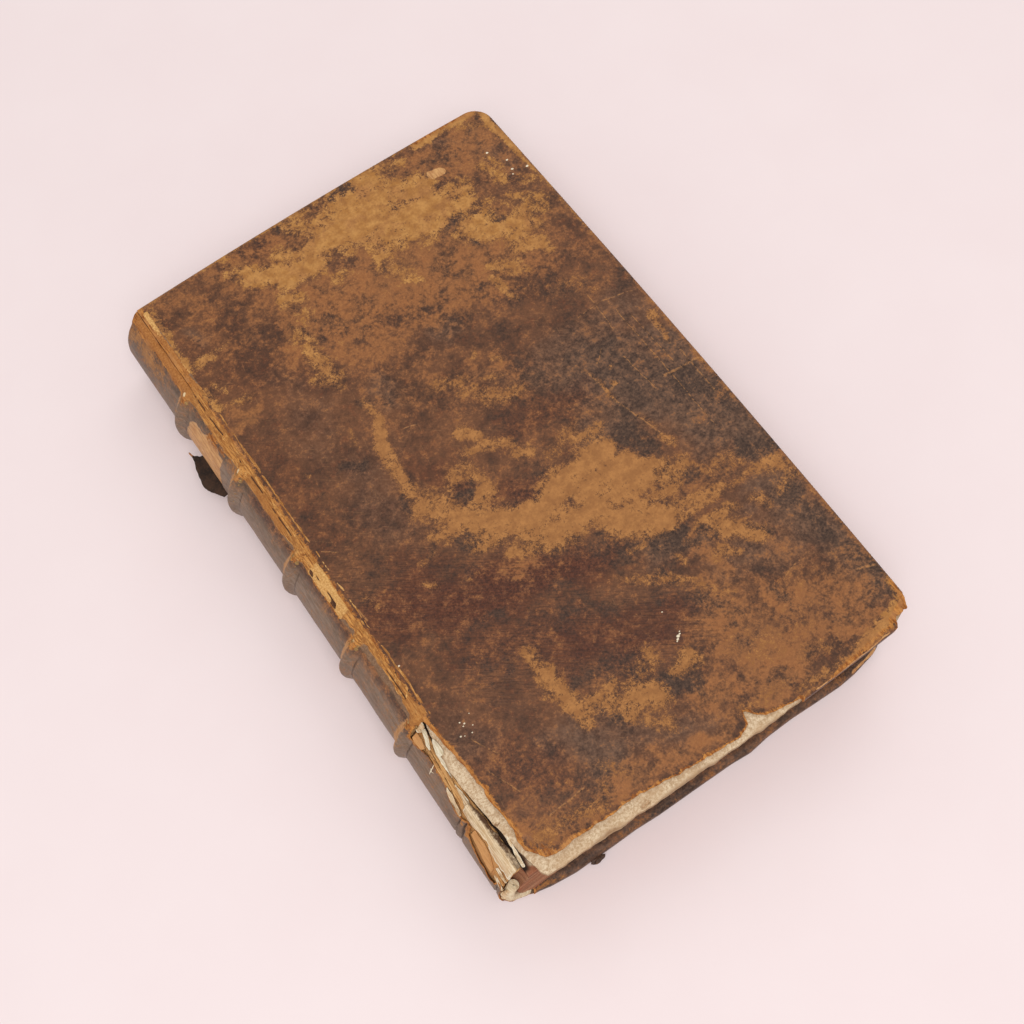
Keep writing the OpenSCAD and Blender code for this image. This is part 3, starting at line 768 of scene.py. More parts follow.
def upper_cover_marks(x, y, near, away):
    """Wear on the front cover, from the strokes, the edges and how near the torn edge is."""
    edge = ridge(away, 0.6, 1.3)
    beside = ridge(x - JOINT_X, 1, 2.2)
    rim_width = np.maximum(0.4, 1.4 + 1.6 * wave(x, y, 6, 46, 2)) + 1.3 * smooth(-50, -75, x)
    scuffed = smudged(x, y, SCUFFED_THROUGH, 370, 1.2)
    dark = smudged(x, y, BLACKENED, 330, 3.5)
    rubbed = smudged(x, y, RUBBED, 300, 2.4) - 0.5 * dark * smooth(0.3, 0.8, dark)
    return {
        "rub": np.maximum(rubbed, edge * (0.45 + 0.4 * wave(x, y, 14, 41, 2))),
        "dark": dark,
        "warm": np.maximum(smudged(x, y, WARMED, 360, 8), 0.7 * edge),
        "grain": strokes_at(x, y, GRAINED),
        "pale": smudged(x, y, PALE, 345, 1.2),
        "sun": np.maximum(smooth(50, 105, y), strokes_at(x, y, [(98, -150, 86, -161, 7, 0.8)])),
        "ruddy": smudged(x, y, RUDDY, 380, 7),
        "ashen": smudged(x, y, ASHEN, 390, 6),
        "raw": np.maximum.reduce([smooth(1, 0.1, near / rim_width), beside * 0.75, scuffed]),
    }


def upper_cover_skin(material):
    """The front cover's leather, torn and curled at the tail and the joint, and creased by a long scratch."""
    loop, torn = upper_cover_loop()
    flat, triangles = cover_sheet(loop, WORN_CORNER_R, 1.7, 21)
    places, away = wrap_place(flat, WORN_CORNER_R)
    x, y = flat.T
    near = distance_to(torn, flat)
    curl = ridge(near, 0, 1.6) * (0.35 + 0.35 * wave(x, y, 5, 31, 2))
    crumpled = strokes_at(x, y, [(-97, -146, -90, -152, 5, 1.0), (-88, -154, -60, -155, 3, 0.6)])
    curl = curl + crumpled * 0.45 * (wave(x, y, 3.4, 35, 2) + 0.5 * wave(x, y, 1.7, 36, 2))
    swell = 0.16 * wave(x, y, 46, 32, 2) + 0.05 * wave(x, y, 7, 33, 2)
    crease = -0.5 * strokes_at(x, y, [(83, -11.6, 103, -12.8, 0.9, 1.0)])
    welt = 0.35 * smooth(4.5, 1.5, np.abs(x + 96.5)) * smooth(110, 122, y)
    dent = -0.35 * strokes_at(x, y, PALE[:1])
    up = smooth(2.0, 0.0, away)
    places[:, 2] += BOOK_T + (swell + crease + welt + dent + curl) * up
    places[:, 2] = np.minimum(places[:, 2], BOOK_T + 1.2)
    depth = LEATHER_T * (0.5 + 0.5 * smooth(0, 1.8, near))
    marks = upper_cover_marks(x, y, near, away)
    piece = shell_piece("upper_cover_skin", places, triangles, depth, "front_cover",
                        material, marks)
    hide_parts("upper_cover_leather")


def lower_cover_skin(material):
    """The back cover's leather, which shows beyond the pages at the tail."""
    full = wrap_length()
    outer = wrap_outline(full, LOWER_CORNER_R, JOINT_X - 0.6)
    outer += (wave(np.arange(len(outer)), 0, 4, 17, 3) * 0.25)[:, None]
    edge_y = -(HEAD_Y - EDGE_R)
    start = ragged([(JOINT_X + 0.2, edge_y + 3), (JOINT_X - 0.8, edge_y), (JOINT_X - 1.2, edge_y - 5),
                    (JOINT_X - 0.4, edge_y - 9), (JOINT_X - 0.6, edge_y - full)], 0.8, 0.6, 18, 3)
    joint = resample([(JOINT_X + 0.2, HEAD_Y - EDGE_R + full), (JOINT_X + 0.2, edge_y + 3)], 1.6)
    loop = np.concatenate([joint[:-1], start[:-1], outer[:-1]])
    flat, triangles = cover_sheet(loop, LOWER_CORNER_R, 3.2, 22)
    places, away = wrap_place(flat, LOWER_CORNER_R)
    x, y = flat.T
    near = distance_to(start, flat)
    near_tail = smooth(-110, -160, places[:, 1])
    places[:, 1] += near_tail * (np.interp(places[:, 0], *LOWER_TAIL) - bow(-HEAD_Y, places[:, 0]))
    inner = smooth(2 * EDGE_R, 3 * EDGE_R + 3, away)
    places[:, 2] = -places[:, 2] + 0.25 * inner * wave(x, y, 9, 34, 3)
    edge = ridge(away, 7.2, 1.4) + ridge(away, 0.6, 1.2)
    marks = {
        "rub": edge * (0.2 + 0.4 * wave(x, y, 10, 42, 2)),
        "dark": 0.52 + 0.3 * wave(x, y, 30, 43) + 0.5 * smooth(-88, -95, x) * smooth(-160, -166, y)
        + strokes_at(x, y, [(66, -174.5, 84, -174, 2, 0.9)]),
        "ashen": 0.9 * smooth(-150, -160, y),
        "warm": 0.1 * edge,
        "grain": np.zeros(len(x)),
        "pale": strokes_at(x, y, LOWER_SCUFFS),
        "raw": smooth(2.2, 0.2, near) * 0.9,
    }
    depth = LEATHER_T * smooth(0, 2.2, near + 0.7)
    piece = shell_piece("lower_cover_skin", places, triangles[:, ::-1], depth, "back_cover",
                        material, marks)
    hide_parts("lower_cover_leather")


def upper_board_loop():
    """The front board's outline, from its spine edge along its worn tail to its head."""
    inset = BOARD_LOW[1] + HEAD_Y
    y1 = HEAD_Y - inset
    tail = [(-94.4, -162.9), (-88, -163.3), (-60, -163.6), (-20, -164.3), (0, -164.7), (20, -165.1),
            (WORN_FOOT[0][0] - 1, WORN_FOOT[0][1])]
    turns = np.linspace(0, math.pi / 2, 10)[1:-1]
    foot = ragged(WORN_FOOT, 0.8, 0.3, 61, 4).tolist()
    head_r = CORNER_R - inset
    head_x, head_y = FORE_X - inset - head_r, y1 - head_r
    head = [(head_x + head_r * math.cos(t), head_y + head_r * math.sin(t)) for t in turns]
    near_edge = ragged(BOARD_EDGE, 0.8, 0.28, 51, 5)
    tail_edge = ragged(tail, 0.8, 0.28, 52, 4)
    rest = resample(foot + [(FORE_X - inset, head_y)] + head + [(-99.6, y1), (-99.6, -82)], 2.4)
    return np.concatenate([near_edge[:-1], tail_edge[:-1], rest[:-1]])


def upper_pasteboard(material):
    """The front board, bare along the tail, with a bevelled, layered spine edge."""
    loop = upper_board_loop()
    coarse = grid_points((-105, -168), (FORE_X, HEAD_Y), 6, 53)
    bare = grid_points((-105, -168), (60, -150), 1.1, 54)
    side = grid_points((-105, -152), (-92, -80), 1.1, 55)
    coarse = coarse[(coarse[:, 1] > -148) & ((coarse[:, 0] > -91) | (coarse[:, 1] > -78))]
    flat, triangles = fill(loop, np.concatenate([coarse, bare, side]), 0.5)
    x, y = flat.T
    edge = distance_to(loop, flat)
    shown = smooth(-148, -154, y) + smooth(-90, -93, x) * smooth(-78, -84, y)
    top = BOARD_HIGH[2] + np.minimum(shown, 1) * (0.05 * wave(x, y, 1.8, 56, 3) + 0.2 * wave(x, y, 8, 57, 2))
    split = strokes_at(x, y, [(-46.5, -162.6, -43.5, -161.8, 0.7, 1.0)])
    cracks = [(-100.2, -134.2, -97.6, -135.2, 0.5, 1.0), (-97.6, -135.2, -95.6, -134.6, 0.4, 0.8)]
    crack = strokes_at(x, y, cracks)
    top = top - 0.9 * ridge(edge, 0, 0.9) * np.minimum(shown, 1) - 1.6 * split - 0.4 * crack
    top = top - 0.7 * smooth(-98.5, -103.5, x)
    places = [np.stack([bow_x(x, y), bow(y, x), top], 1)]
    count = len(flat)
    rim_order = np.arange(len(loop))
    following = np.roll(rim_order, -1)
    rows = 7
    under = loop.copy()
    under[:, 0] = np.maximum(under[:, 0], JOINT_X + 0.5)
    faces = triangles.tolist()
    previous = rim_order
    for k in range(1, rows + 1):
        t = k / rows
        ring = loop * (1 - t) + under * t
        jut = 0.16 * wave(np.arange(len(loop)), k * 7.3, 5, 58, 2) + 0.12 * lattice(k, k, 59)
        ring = ring + ring / np.linalg.norm(ring, axis=1)[:, None] * jut[:, None] * (k < rows)
        z = places[0][rim_order, 2] * (1 - t) + BOARD_LOW[2] * t
        places.append(np.stack([bow_x(ring[:, 0], ring[:, 1]), bow(ring[:, 1], ring[:, 0]), z], 1))
        current = count + (k - 1) * len(loop) + rim_order
        faces += np.stack([previous, current, current[following], previous[following]], 1).tolist()
        previous = current
    faces.append(tuple(previous[::-1]))
    places = np.concatenate(places)
    # Stain: random foxing, darker towards the outline, with painted shade in the crack and on the board's
    # sides below its top
    dirt_and_shade = 0.2 + 0.35 * ridge(edge, 0, 1.2) + 0.3 * wave(x, y, 16, 60) + 0.8 * crack
    dirt_and_shade = np.concatenate([dirt_and_shade, np.full(len(places) - count, 0.62)])
    piece = finish_piece("upper_pasteboard", places, faces, "front_cover", material,
                         {"stain": dirt_and_shade}, 40)
    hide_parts("upper_board")


def lower_pasteboard(material):
    """The back board, stepped back from the leather all round."""
    tail_x = np.linspace(JOINT_X + 1.2, FORE_X - LOWER_CORNER_R, 60)
    tail = np.stack([tail_x, np.interp(tail_x, *LOWER_TAIL) + 1.6], 1)
    r = LOWER_CORNER_R
    turns = np.linspace(0, math.pi / 2, 8)[1:-1]
    foot = [(FORE_X - 1.5 - r + r * math.sin(t), -HEAD_Y + 3.4 + r - r * math.cos(t)) for t in turns]
    fore = [(FORE_X - 1.5, -HEAD_Y + 3.4 + r), (FORE_X - 1.5, HEAD_Y - r)]
    head = [(FORE_X - 1.5 - r + r * math.cos(t), HEAD_Y - 1.5 - r + r * math.sin(t)) for t in turns]
    rest = resample(foot + fore + head + [(JOINT_X + 1.2, HEAD_Y - 1.5), tuple(tail[0])], 3)
    loop = np.concatenate([tail, rest[:-1]])
    flat, triangles = fill(loop, grid_points((JOINT_X, -HEAD_Y), (FORE_X, HEAD_Y), 9, 68), 3)
    low, high = (corner[2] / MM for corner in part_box("lower_board"))
    places = np.column_stack([flat, np.full(len(flat), high)])
    marks = {"stain": np.full(len(places), 0.5)}
    piece = shell_piece("lower_pasteboard", places, triangles, high - low, "back_cover",
                        material, marks, 40)
    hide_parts("lower_board")


# The back

def bulge(y):
    """How far the panels stand out from the joints, which grows from head to tail."""
    t = (HEAD_Y - np.asarray(y, float)) / (2 * HEAD_Y)
    return HEAD_BULGE + 0.6 * t + (TAIL_BULGE - HEAD_BULGE - 0.6) * t**2


def back_place(s, y, rise=0.0):
    """A point on the back: its distance round from the front joint, its height, and its rise."""
    s, y, rise = np.broadcast_arrays(np.asarray(s, float), np.asarray(y, float), np.asarray(rise, float))
    turn = BACK_TURN - s / BACK_R
    reach = BACK_R + rise
    x = BACK_X - reach * np.cos(turn)
    x = JOINT_X + (x - JOINT_X) * bulge(y) / BACK_OUT
    return np.stack([x, y, MID_Z + reach * np.sin(turn)], -1)


def band_bump(s, y):
    """How far the raised bands lift the leather."""
    turn = np.abs(BACK_TURN - s / BACK_R) / BACK_TURN
    fade = 0.3 + 0.7 * smooth(1.02, 0.55, turn)
    bump = sum(np.exp(-np.abs((y - band_y) / BAND_SPREAD) ** 2.6) for band_y in BAND_YS)
    return BAND_RISE * fade * bump


# The torn edge of the spine's leather at the tail: distance round from the front joint, height
SPINE_RIM = [
    (0.2, -78.5), (3, -80.2), (6, -81.2), (9.8, -82.6), (9.8, -86), (8.4, -89.5), (7.6, -93), (7.2, -98),
    (7.8, -103), (8.6, -108), (10.2, -110.6), (11.6, -113), (12.4, -117), (13, -121), (13.4, -122.6),
    (10.8, -124.4), (10.6, -128.2), (14.4, -129.6), (16.2, -132), (17.8, -136), (19.6, -140.5),
    (20.8, -145), (22, -149), (20.8, -151.2), (16.8, -152.4), (16.4, -154.6), (19, -156),
]


def spine_skin(material):
    """The leather over the back, rolled in at the head and torn away at the tail."""
    cap_r, cap_in = 2.6, 4.5
    cap_y = HEAD_Y - cap_r
    head_y = cap_y + cap_r * math.pi / 2 + cap_in
    girth = BACK_GIRTH
    rim = ragged(SPINE_RIM, 0.8, 0.45, 61, 4)
    foot = [(19, -156), (26, -156.2), (34, -156.8), (44, -158.4), (girth - 0.2, -160)]
    foot = ragged(foot, 0.9, 0.4, 62, 4)
    far = resample([(girth - 0.2, -160), (girth - 0.2, head_y)], 1.5)
    top = resample([(girth - 0.2, head_y), (0.2, head_y)], 1.2)
    near_joint = resample([(0.2, head_y), (0.2, -78.5)], 1.5)
    loop = np.concatenate([rim[:-1], foot[:-1], far[:-1], top[:-1], near_joint[:-1]])
    grid = grid_points((0, -166), (girth, cap_y - 0.5), 1.25, 63)
    rolled = [resample([(0.8, y), (girth - 0.8, y)], 1.2) for y in np.arange(cap_y, head_y - 0.4, 0.55)]
    flat, triangles = fill(loop, np.concatenate([grid] + rolled), 0.5)
    s, y = flat.T
    torn = np.concatenate([rim, foot])
    near = distance_to(torn, flat)
    roll = np.clip((y - cap_y) / cap_r, 0, math.pi / 2)
    sunk = cap_r * (1 - np.cos(roll)) + np.maximum(y - cap_y - cap_r * math.pi / 2, 0)
    middle = smooth(0.0, 9.0, np.minimum(s, girth - s))
    sunk = sunk * (0.12 + 0.88 * middle)
    real_y = np.minimum(y, cap_y) + cap_r * np.sin(roll)
    skinned = skinned_patch(s, y)
    rise = band_bump(s, y) - sunk + 0.1 * wave(s, y, 16, 64, 2) + 0.05 * wave(s, y * 0.4, 3, 65, 2)
    curl = ridge(near, 0, 1.5) * (0.3 + 0.3 * wave(s, y, 4, 66, 2))
    rise = rise - 0.35 * smooth(0.35, 0.6, skinned) + curl
    rise = rise - 0.6 * ridge(s, 0, 1.4) - 0.5 * ridge(girth - s, 0, 1.4)
    rise = rise + 0.5 * smooth(4.5, 2.6, np.abs(s - 3)) * smooth(108, 120, y)
    swollen = strokes_at(s, y, [(11, -123.8, 26, -124.4, 1.0, 1.0)])
    rise = rise - 0.8 * strokes_at(s, y, SPINE_CREASES) + 0.35 * swollen
    places = back_place(s, real_y, rise)
    places[:, 0] = np.minimum(places[:, 0], JOINT_X - 0.15)
    places[:, 2] = np.maximum(places[:, 2], 0.15)
    marks = spine_marks(s, y, near, skinned)
    depth = LEATHER_T * smooth(0, 2, near + 0.7)
    piece = shell_piece("spine_skin", places, triangles[:, ::-1], depth, "book_block",
                        material, marks)
    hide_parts("spine_leather")


def skinned_patch(s, y):
    """The panel under the first band, where the grain layer has peeled away."""
    wobble = 1.6 * wave(s, y, 7, 71, 3)
    across = smooth(5.5, 12.5, s + 1.6 * wobble) * smooth(38, 32, s)
    low = 76.6 - 0.2 * np.clip(s - 11, 0, 12) + 0.35 * wobble
    return across * smooth(low, low + 1.2, y) * smooth(107.5, 100, y + wobble - 0.25 * (s - 10))


# Deep folds across the torn last panel, sunk into the leather and darkened as painted shade: distance round
# the back, height, radius and strength
SPINE_CREASES = [
    (12.5, -122.2, 20, -123.0, 0.55, 0.8), (20, -123.0, 34, -122.4, 0.6, 0.7),
    (10.6, -125.8, 15.5, -126.0, 0.6, 1.0), (15.5, -126.0, 22, -127.2, 0.8, 1.0),
    (22, -127.2, 34, -126.4, 0.7, 0.8), (16, -151.8, 23, -153.2, 0.5, 0.9),
    (23, -153.2, 36, -153.0, 0.5, 0.8),
]
# How far the cracked joint's orange fibres reach round the back: heights, and distances
FIBRE_REACH = (
    (-80, -69, -66, -40, -36, -23, -20, 4, 10, 20, 30, 60, 70, 80, 100, 108, 118, 166),
    (2.8, 2.8, 1.6, 1.4, 2.2, 2.4, 5.4, 5.6, 4.0, 3.0, 4.3, 4.3, 4.0, 4.6, 4.2, 3.6, 4.8, 5.2),
)


def spine_marks(s, y, near, skinned):
    """Wear on the spine's leather: raw at the joint, at the bands' head sides and at the torn edges. It also
    carries a painted sheen round the back, and painted shade in the creases and beside the bands.
    """
    broken = wave(s, y * 0.5, 3.2, 72, 3)
    joint_reach = np.interp(y, *FIBRE_REACH) + 0.4 + 0.5 * wave(y, 0, 8, 73, 3)
    joint = smooth(joint_reach + 0.8, joint_reach - 0.8, s) * (0.8 + 0.3 * broken)
    crest, crease, knots = np.zeros(len(s)), np.zeros(len(s)), np.zeros(len(s))
    for k, band_y in enumerate(BAND_YS):
        line = ridge(y - band_y, 2.7, 1.5 + 0.5 * (k == 4))
        crest = np.maximum(crest, line * (1.05 + 0.4 * broken))
        # Painted shade: dark lines on both sides of each band
        crease = np.maximum(crease, 0.75 * ridge(y - band_y, -5.4, 0.8) * smooth(4, 12, s))
        crease = np.maximum(crease, 0.5 * ridge(y - band_y, 6.2, 0.8) * smooth(8, 14, s))
        taper = smooth(13.5, 3, s)
        knots = np.maximum(knots, ridge(y - band_y, 1.6, 1.2 + 3.0 * taper) * taper * 1.1)
    mottled = 0.7 * smooth(13, 7, s) * smooth(72, 78, y) * smooth(108, 100, y) * (0.5 + 0.8 * broken)
    cap = smooth(HEAD_Y - 7, HEAD_Y - 2, y) * smooth(10, 3, s) * 0.9
    tongue = 0.8 * strokes_at(s, y, [(11, -127.4, 17, -128.6, 1.6, 1.0), (11, -123.6, 15, -124, 0.9, 0.8)])
    rim = smooth(1.8, 0.2, near) * (0.75 + 0.4 * wave(s, y, 4, 77, 2))
    raw = np.maximum.reduce([joint, knots, mottled, cap, tongue, rim])
    # Painted sheen: lighter grey round the back, away from the front joint, for the reflection at grazing
    # angles
    painted_sheen = np.clip(smooth(3, 14, s) * (0.85 + 0.3 * wave(s, y * 0.3, 9, 74, 2)), 0, 1)
    dark = 0.15 + 0.2 * wave(s, y, 20, 76, 2)
    dark += 0.4 * smooth(12, 7, s) * smooth(130, 120, y) * smooth(117, 121, y)
    beside = smooth(4, 6, s) * smooth(13, 8, s) * smooth(60, 50, y)
    return {
        "raw": np.clip(raw, 0, 1),
        "pale": skinned,
        "crest": np.clip(crest, 0, 1),
        "crease": np.maximum(np.clip(crease, 0, 1), strokes_at(s, y, SPINE_CREASES, 0.8)),
        "painted_sheen": painted_sheen * (1 - skinned) * (1 - 0.5 * smooth(120, 140, y)),
        "rub": 0.12 + 0.2 * wave(s, y, 12, 75, 2) + 0.75 * smooth(126, 146, y) * smooth(22, 10, s),
        "dark": dark + 0.35 * beside * (1 + wave(s, y * 0.3, 6, 79, 2)),
        "ruddy": 0.7 * smooth(4, 6, s) * smooth(15, 8, s) * smooth(60, 50, y),
        "warm": 0.35 * smooth(20, 8, s),
        "grain": np.zeros(len(s)),
        "sun": np.zeros(len(s)),
    }


def lining_sheet(y_from, y_to, step, seed):
    """A flat sheet of the back's lining, and its triangles. It stops short of both joints."""
    low, high = (7, y_from), (BACK_GIRTH - 7, y_to)
    corners = [low, (low[0], y_to), high, (high[0], y_from), low]
    sides = [resample([near, far], step)[:-1] for near, far in zip(corners, corners[1:])]
    return fill(np.concatenate(sides), grid_points(low, high, step, seed), 0.6 * step)


def back_linings(material):
    """Paper pasted on the back between the cords."""
    ends = [PAGE_HIGH[1] - 3] + BAND_YS
    for i, (high, low) in enumerate(zip(ends, ends[1:]), 1):
        top = high if i == 1 else high - 2.6
        flat, triangles = lining_sheet(low + 2.6, top, 4, 80 + i)
        s, y = flat.T
        places = back_place(s, y, -1.05 + 0.06 * wave(s, y, 6, 81 + i, 2))
        piece = shell_piece(f"back_lining_{i}", places, triangles[:, ::-1], 0.9, "book_block",
                            material)
        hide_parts(f"spine_lining_{i}")


def tube(path, radius, across, closed_ends=True):
    """A round bar along a path, with its radius given at each point."""
    path = np.asarray(path, float)
    radius = np.broadcast_to(np.asarray(radius, float), (len(path),))
    ahead = np.gradient(path, axis=0)
    ahead /= np.linalg.norm(ahead, axis=1)[:, None]
    side = np.cross(ahead, (0, 1, 0.001))
    side /= np.linalg.norm(side, axis=1)[:, None]
    up = np.cross(ahead, side)
    turns = np.linspace(0, 2 * math.pi, across, endpoint=False)
    around = side[:, None] * np.cos(turns)[None, :, None] + up[:, None] * np.sin(turns)[None, :, None]
    places = (path[:, None] + around * radius[:, None, None]).reshape(-1, 3)
    faces = grid_faces(len(path), across, closed_columns=True).tolist()
    if closed_ends:
        faces.append(list(range(across))[::-1])
        faces.append([(len(path) - 1) * across + k for k in range(across)])
    return places, faces


def sewing_cords(material):
    """Two twisted strands at each band, just under the leather."""
    for i, band_y in enumerate(BAND_YS, 1):
        parts, faces = [], []
        s = np.linspace(3.2, BACK_GIRTH - 3.2, 150)
        for strand in (-1, 1):
            twist = s * 1.1 + strand
            rise = BAND_RISE - 2.7 + 0.12 * np.cos(twist * 2)
            centre = back_place(s, band_y + strand * 1.35 + 0.12 * np.sin(twist * 2), rise)
            places, quads = tube(centre, 1.3 + 0.14 * np.cos(s * 3.1 + strand), 10)
            offset = sum(len(part) for part in parts)
            faces += [[k + offset for k in quad] for quad in quads]
            parts.append(places)
        places = np.concatenate(parts)
        piece = finish_piece(f"twisted_cord_{i}", places, faces, "book_block", material)
        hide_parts(f"sewing_cord_{i}")


def page_block(material):
    """All the leaves as one solid, with each layer a little out of line with the next."""
    rows = 100
    half = (PAGE_TOP - PAGE_LOW[2]) / 2
    tail_y, head_y, fore_x = PAGE_LOW[1], PAGE_HIGH[1], PAGE_HIGH[0]
    tail_t, side_t = np.linspace(0, 1, 72, endpoint=False), np.linspace(0, 1, 110, endpoint=False)
    count = 2 * (len(tail_t) + len(side_t))
    flat_y = np.concatenate([np.full(len(tail_t), tail_y), tail_y + (head_y - tail_y) * side_t,
                             np.full(len(tail_t), head_y), head_y + (tail_y - head_y) * side_t])
    toward_fore = np.concatenate([tail_t, np.ones(len(side_t)), 1 - tail_t, np.zeros(len(side_t))])
    # The tail is side 0, the fore-edge 1, the head 2 and the back 3
    side = np.repeat([0, 1, 2, 3], [len(tail_t), len(side_t), len(tail_t), len(side_t)])
    z = np.linspace(PAGE_LOW[2], PAGE_TOP, rows)
    places = []
    for k, height in enumerate(z):
        level = (height - MID_Z) / half
        back = BACK_X - math.sqrt((BACK_R - 2.3) ** 2 - (height - MID_Z) ** 2)
        fore = fore_x - 6.4 * (1 - level**2)
        spine_x = JOINT_X + (back - JOINT_X) * bulge(flat_y) / BACK_OUT
        notch = 5.0 * smooth(-150, -154.5, flat_y) * smooth(PAGE_TOP, PAGE_TOP - 5, height)
        x = (spine_x + notch) * (1 - toward_fore) + fore * toward_fore
        leaf = 0.17 * lattice(k, 3, 91) + 0.12 * wave(np.arange(count), k * 9.1, 30, 92, 2)
        gather = 0.22 * math.sin(k * 0.9) * (1 - abs(level))
        slip = np.clip(leaf + gather, -0.34, 0.1)
        y = flat_y + np.where(side == 0, -slip, 0) + np.where(side == 2, slip, 0)
        x = x + np.where(side == 1, slip, 0)
        inner = min(1.0, 4 * (1 - abs(level)))
        rise = 0.32 * inner * wave(x * 0.5, y * 0.5, 14, 93, 2)
        places.append(np.stack([x, y, height + rise], 1))
    faces = grid_faces(rows, count, closed_columns=True).tolist()
    side_count = rows * count
    marks = [np.ones(side_count)]
    extra = []
    start = side_count
    for row, outward in ((0, -1), (rows - 1, 1)):
        loop = places[row][:, :2]
        flat, triangles = fill(loop, grid_points((-112, tail_y), (fore_x, head_y), 4.5, 94), 2)
        inner = flat[count:]
        gap = distance_to(resample(np.concatenate([loop, loop[:1]]), 0.8), inner)
        sink = 0.12 + 0.1 * wave(inner[:, 0], inner[:, 1], 35, 95, 2)
        height = z[row] - outward * sink * smooth(0, 8, gap)
        extra.append(np.column_stack([inner, height]))
        index = np.concatenate([row * count + np.arange(count), start + np.arange(len(inner))])
        cap = index[triangles]
        faces += (cap if outward > 0 else cap[:, ::-1]).tolist()
        marks.append(smooth(9, 0, gap) * 0.5)
        start += len(inner)
    corners = np.concatenate(places + extra)
    piece = finish_piece("page_block", corners, faces, "book_block", material,
                         block_marks(corners, np.concatenate(marks)), 60)
    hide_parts("text_block")


def block_marks(places, edge):
    """Coloured edges, painted shade along the back's upper shoulder, and red left at the foot of the tail
    edge.
    """
    x, y, z = places.T
    tail = smooth(PAGE_LOW[1] + 1.5, PAGE_LOW[1] + 0.5, y)
    red = tail * smooth(PAGE_LOW[2] + 6, PAGE_LOW[2] + 2, z) * smooth(-92, -100, x)
    shoulder_shade = smooth(JOINT_X + 4, JOINT_X + 0.5, x) * smooth(PAGE_TOP - 4, PAGE_TOP - 1, z) * (1 - tail)
    return {"edge": edge, "red": red + 0.3 * tail * wave(x, z, 8, 96, 2), "shoulder_shade": shoulder_shade}


def paper_leaf(name, outline, shape, depth, material, seed, rough, step=0.8):
    """A thin torn layer on the back. Its outline is in distance round the back and height.

    The shape is a function of distance, height and how near the edge is, for the rise and the marks.
    """
    points = list(outline) + [outline[0]]
    loop = ragged(points, step, rough, seed, 3)[:-1]
    low, high = loop.min(0), loop.max(0)
    flat, triangles = fill(loop, grid_points(low, high, step * 1.15, seed + 1), 0.5 * step)
    s, y = flat.T
    rise, marks = shape(s, y, distance_to(loop, flat))
    places = back_place(s, y, rise)
    return shell_piece(name, places, triangles[:, ::-1], depth, "book_block",
                       material, marks, 60)


def old_paper(name, dark, pale, stain=(120, 84, 52), fibre=2.0):
    """Foxed, fibrous paper. One mark darkens it, for dirt and for painted shade in folds and gaps, and the
    mark named bright whitens torn edges.
    """
    paint = Paint(name, roughness=0.92, specular=0.2)
    matted = paint.noise(1.3, 6, 0.62)
    broad = paint.noise(12, 4, 0.6)
    along = paint.noise(1, 5, 0.6, paint.stretch(fibre, 0.14, fibre))
    base = paint.between(along, 0.34, 0.68, dark, pale)
    base = paint.patches(base, broad, 0.5, 0.72, 0.45, stain)
    fox = paint.ramp(paint.noise(3.1, 3, 0.5), 0.66, 0.74, 0.0, 0.4)
    base = paint.mix(fox, base, srgb(140, 84, 48))
    # Darkening mark: dirt, and painted shade where the tail panel's layers fold and turn into gaps
    base = paint.mix(paint.soft_mask("dirt_and_shade", matted, 0.35, 0.85, 0.8), base, srgb(84, 58, 40))
    raw = paint.soft_mask("raw", along, 0.25, 0.85, 1.2)
    base = paint.mix(paint.times(raw, 0.75), base, srgb(204, 148, 94))
    base = paint.mix(paint.soft_mask("bright", matted, 0.35, 0.75, 0.8), base, srgb(234, 218, 190))
    paint.colour(base)
    paint.set("Normal", paint.bump(along, 0.22, 0.8, paint.bump(matted, 0.12, 0.6)))
    return paint.material


def leaf_paper(name):
    """Leaves: cream inside, with edges that are coloured red and grimy, and painted shade at the back's upper
    shoulder.
    """
    paint = Paint(name, roughness=0.9, specular=0.2)
    broad = paint.noise(18, 4, 0.6)
    matted = paint.noise(1.5, 6, 0.65)
    leaves = paint.noise(1, 5, 0.7, paint.stretch(0.02, 0.02, 4.5))
    cream = paint.between(broad, 0.35, 0.75, (216, 200, 170), (205, 186, 153))
    cream = paint.patches(cream, paint.noise(3, 3, 0.5), 0.66, 0.76, 0.35, (168, 124, 82))
    gathers = paint.noise(1, 3, 0.6, paint.stretch(0.03, 0.03, 1.3))
    edge = paint.between(leaves, 0.35, 0.65, (120, 76, 54), (196, 141, 105))
    edge = paint.patches(edge, gathers, 0.4, 0.64, 0.55, (104, 62, 44))
    edge = paint.patches(edge, broad, 0.42, 0.7, 0.4, (158, 84, 54))
    edge = paint.mix(paint.ramp(paint.mark("red"), 0.2, 0.8), edge, srgb(176, 66, 40))
    edge = paint.patches(edge, matted, 0.55, 0.72, 0.4, (196, 160, 118))
    base = paint.mix(paint.soft_mask("edge", matted, 0.3, 0.8, 0.5), cream, edge)
    # Painted shade: near-black at the back's upper shoulder, in the gap under the joint
    base = paint.mix(paint.ramp(paint.mark("shoulder_shade"), 0.2, 0.9), base, srgb(44, 30, 22))
    paint.colour(base)
    paint.set("Normal", paint.bump(leaves, 0.25, 0.9, paint.bump(matted, 0.08, 0.5)))
    return paint.material


def thread_paint(name):
    """Endband thread in worn bands of two colours."""
    paint = Paint(name, roughness=0.8, specular=0.25)
    sockets = {"Vector": paint.place, "Scale": 0.16, "Distortion": 1.2}
    wound = paint.node("TexWave", sockets, bands_direction="Z")
    fine = paint.noise(0.9, 5, 0.6)
    base = paint.between(wound.outputs["Fac"], 0.4, 0.6, (120, 64, 44), (176, 146, 104))
    base = paint.patches(base, fine, 0.45, 0.7, 0.6, (92, 66, 48))
    paint.colour(base)
    paint.set("Normal", paint.bump(fine, 0.12, 0.8))
    return paint.material


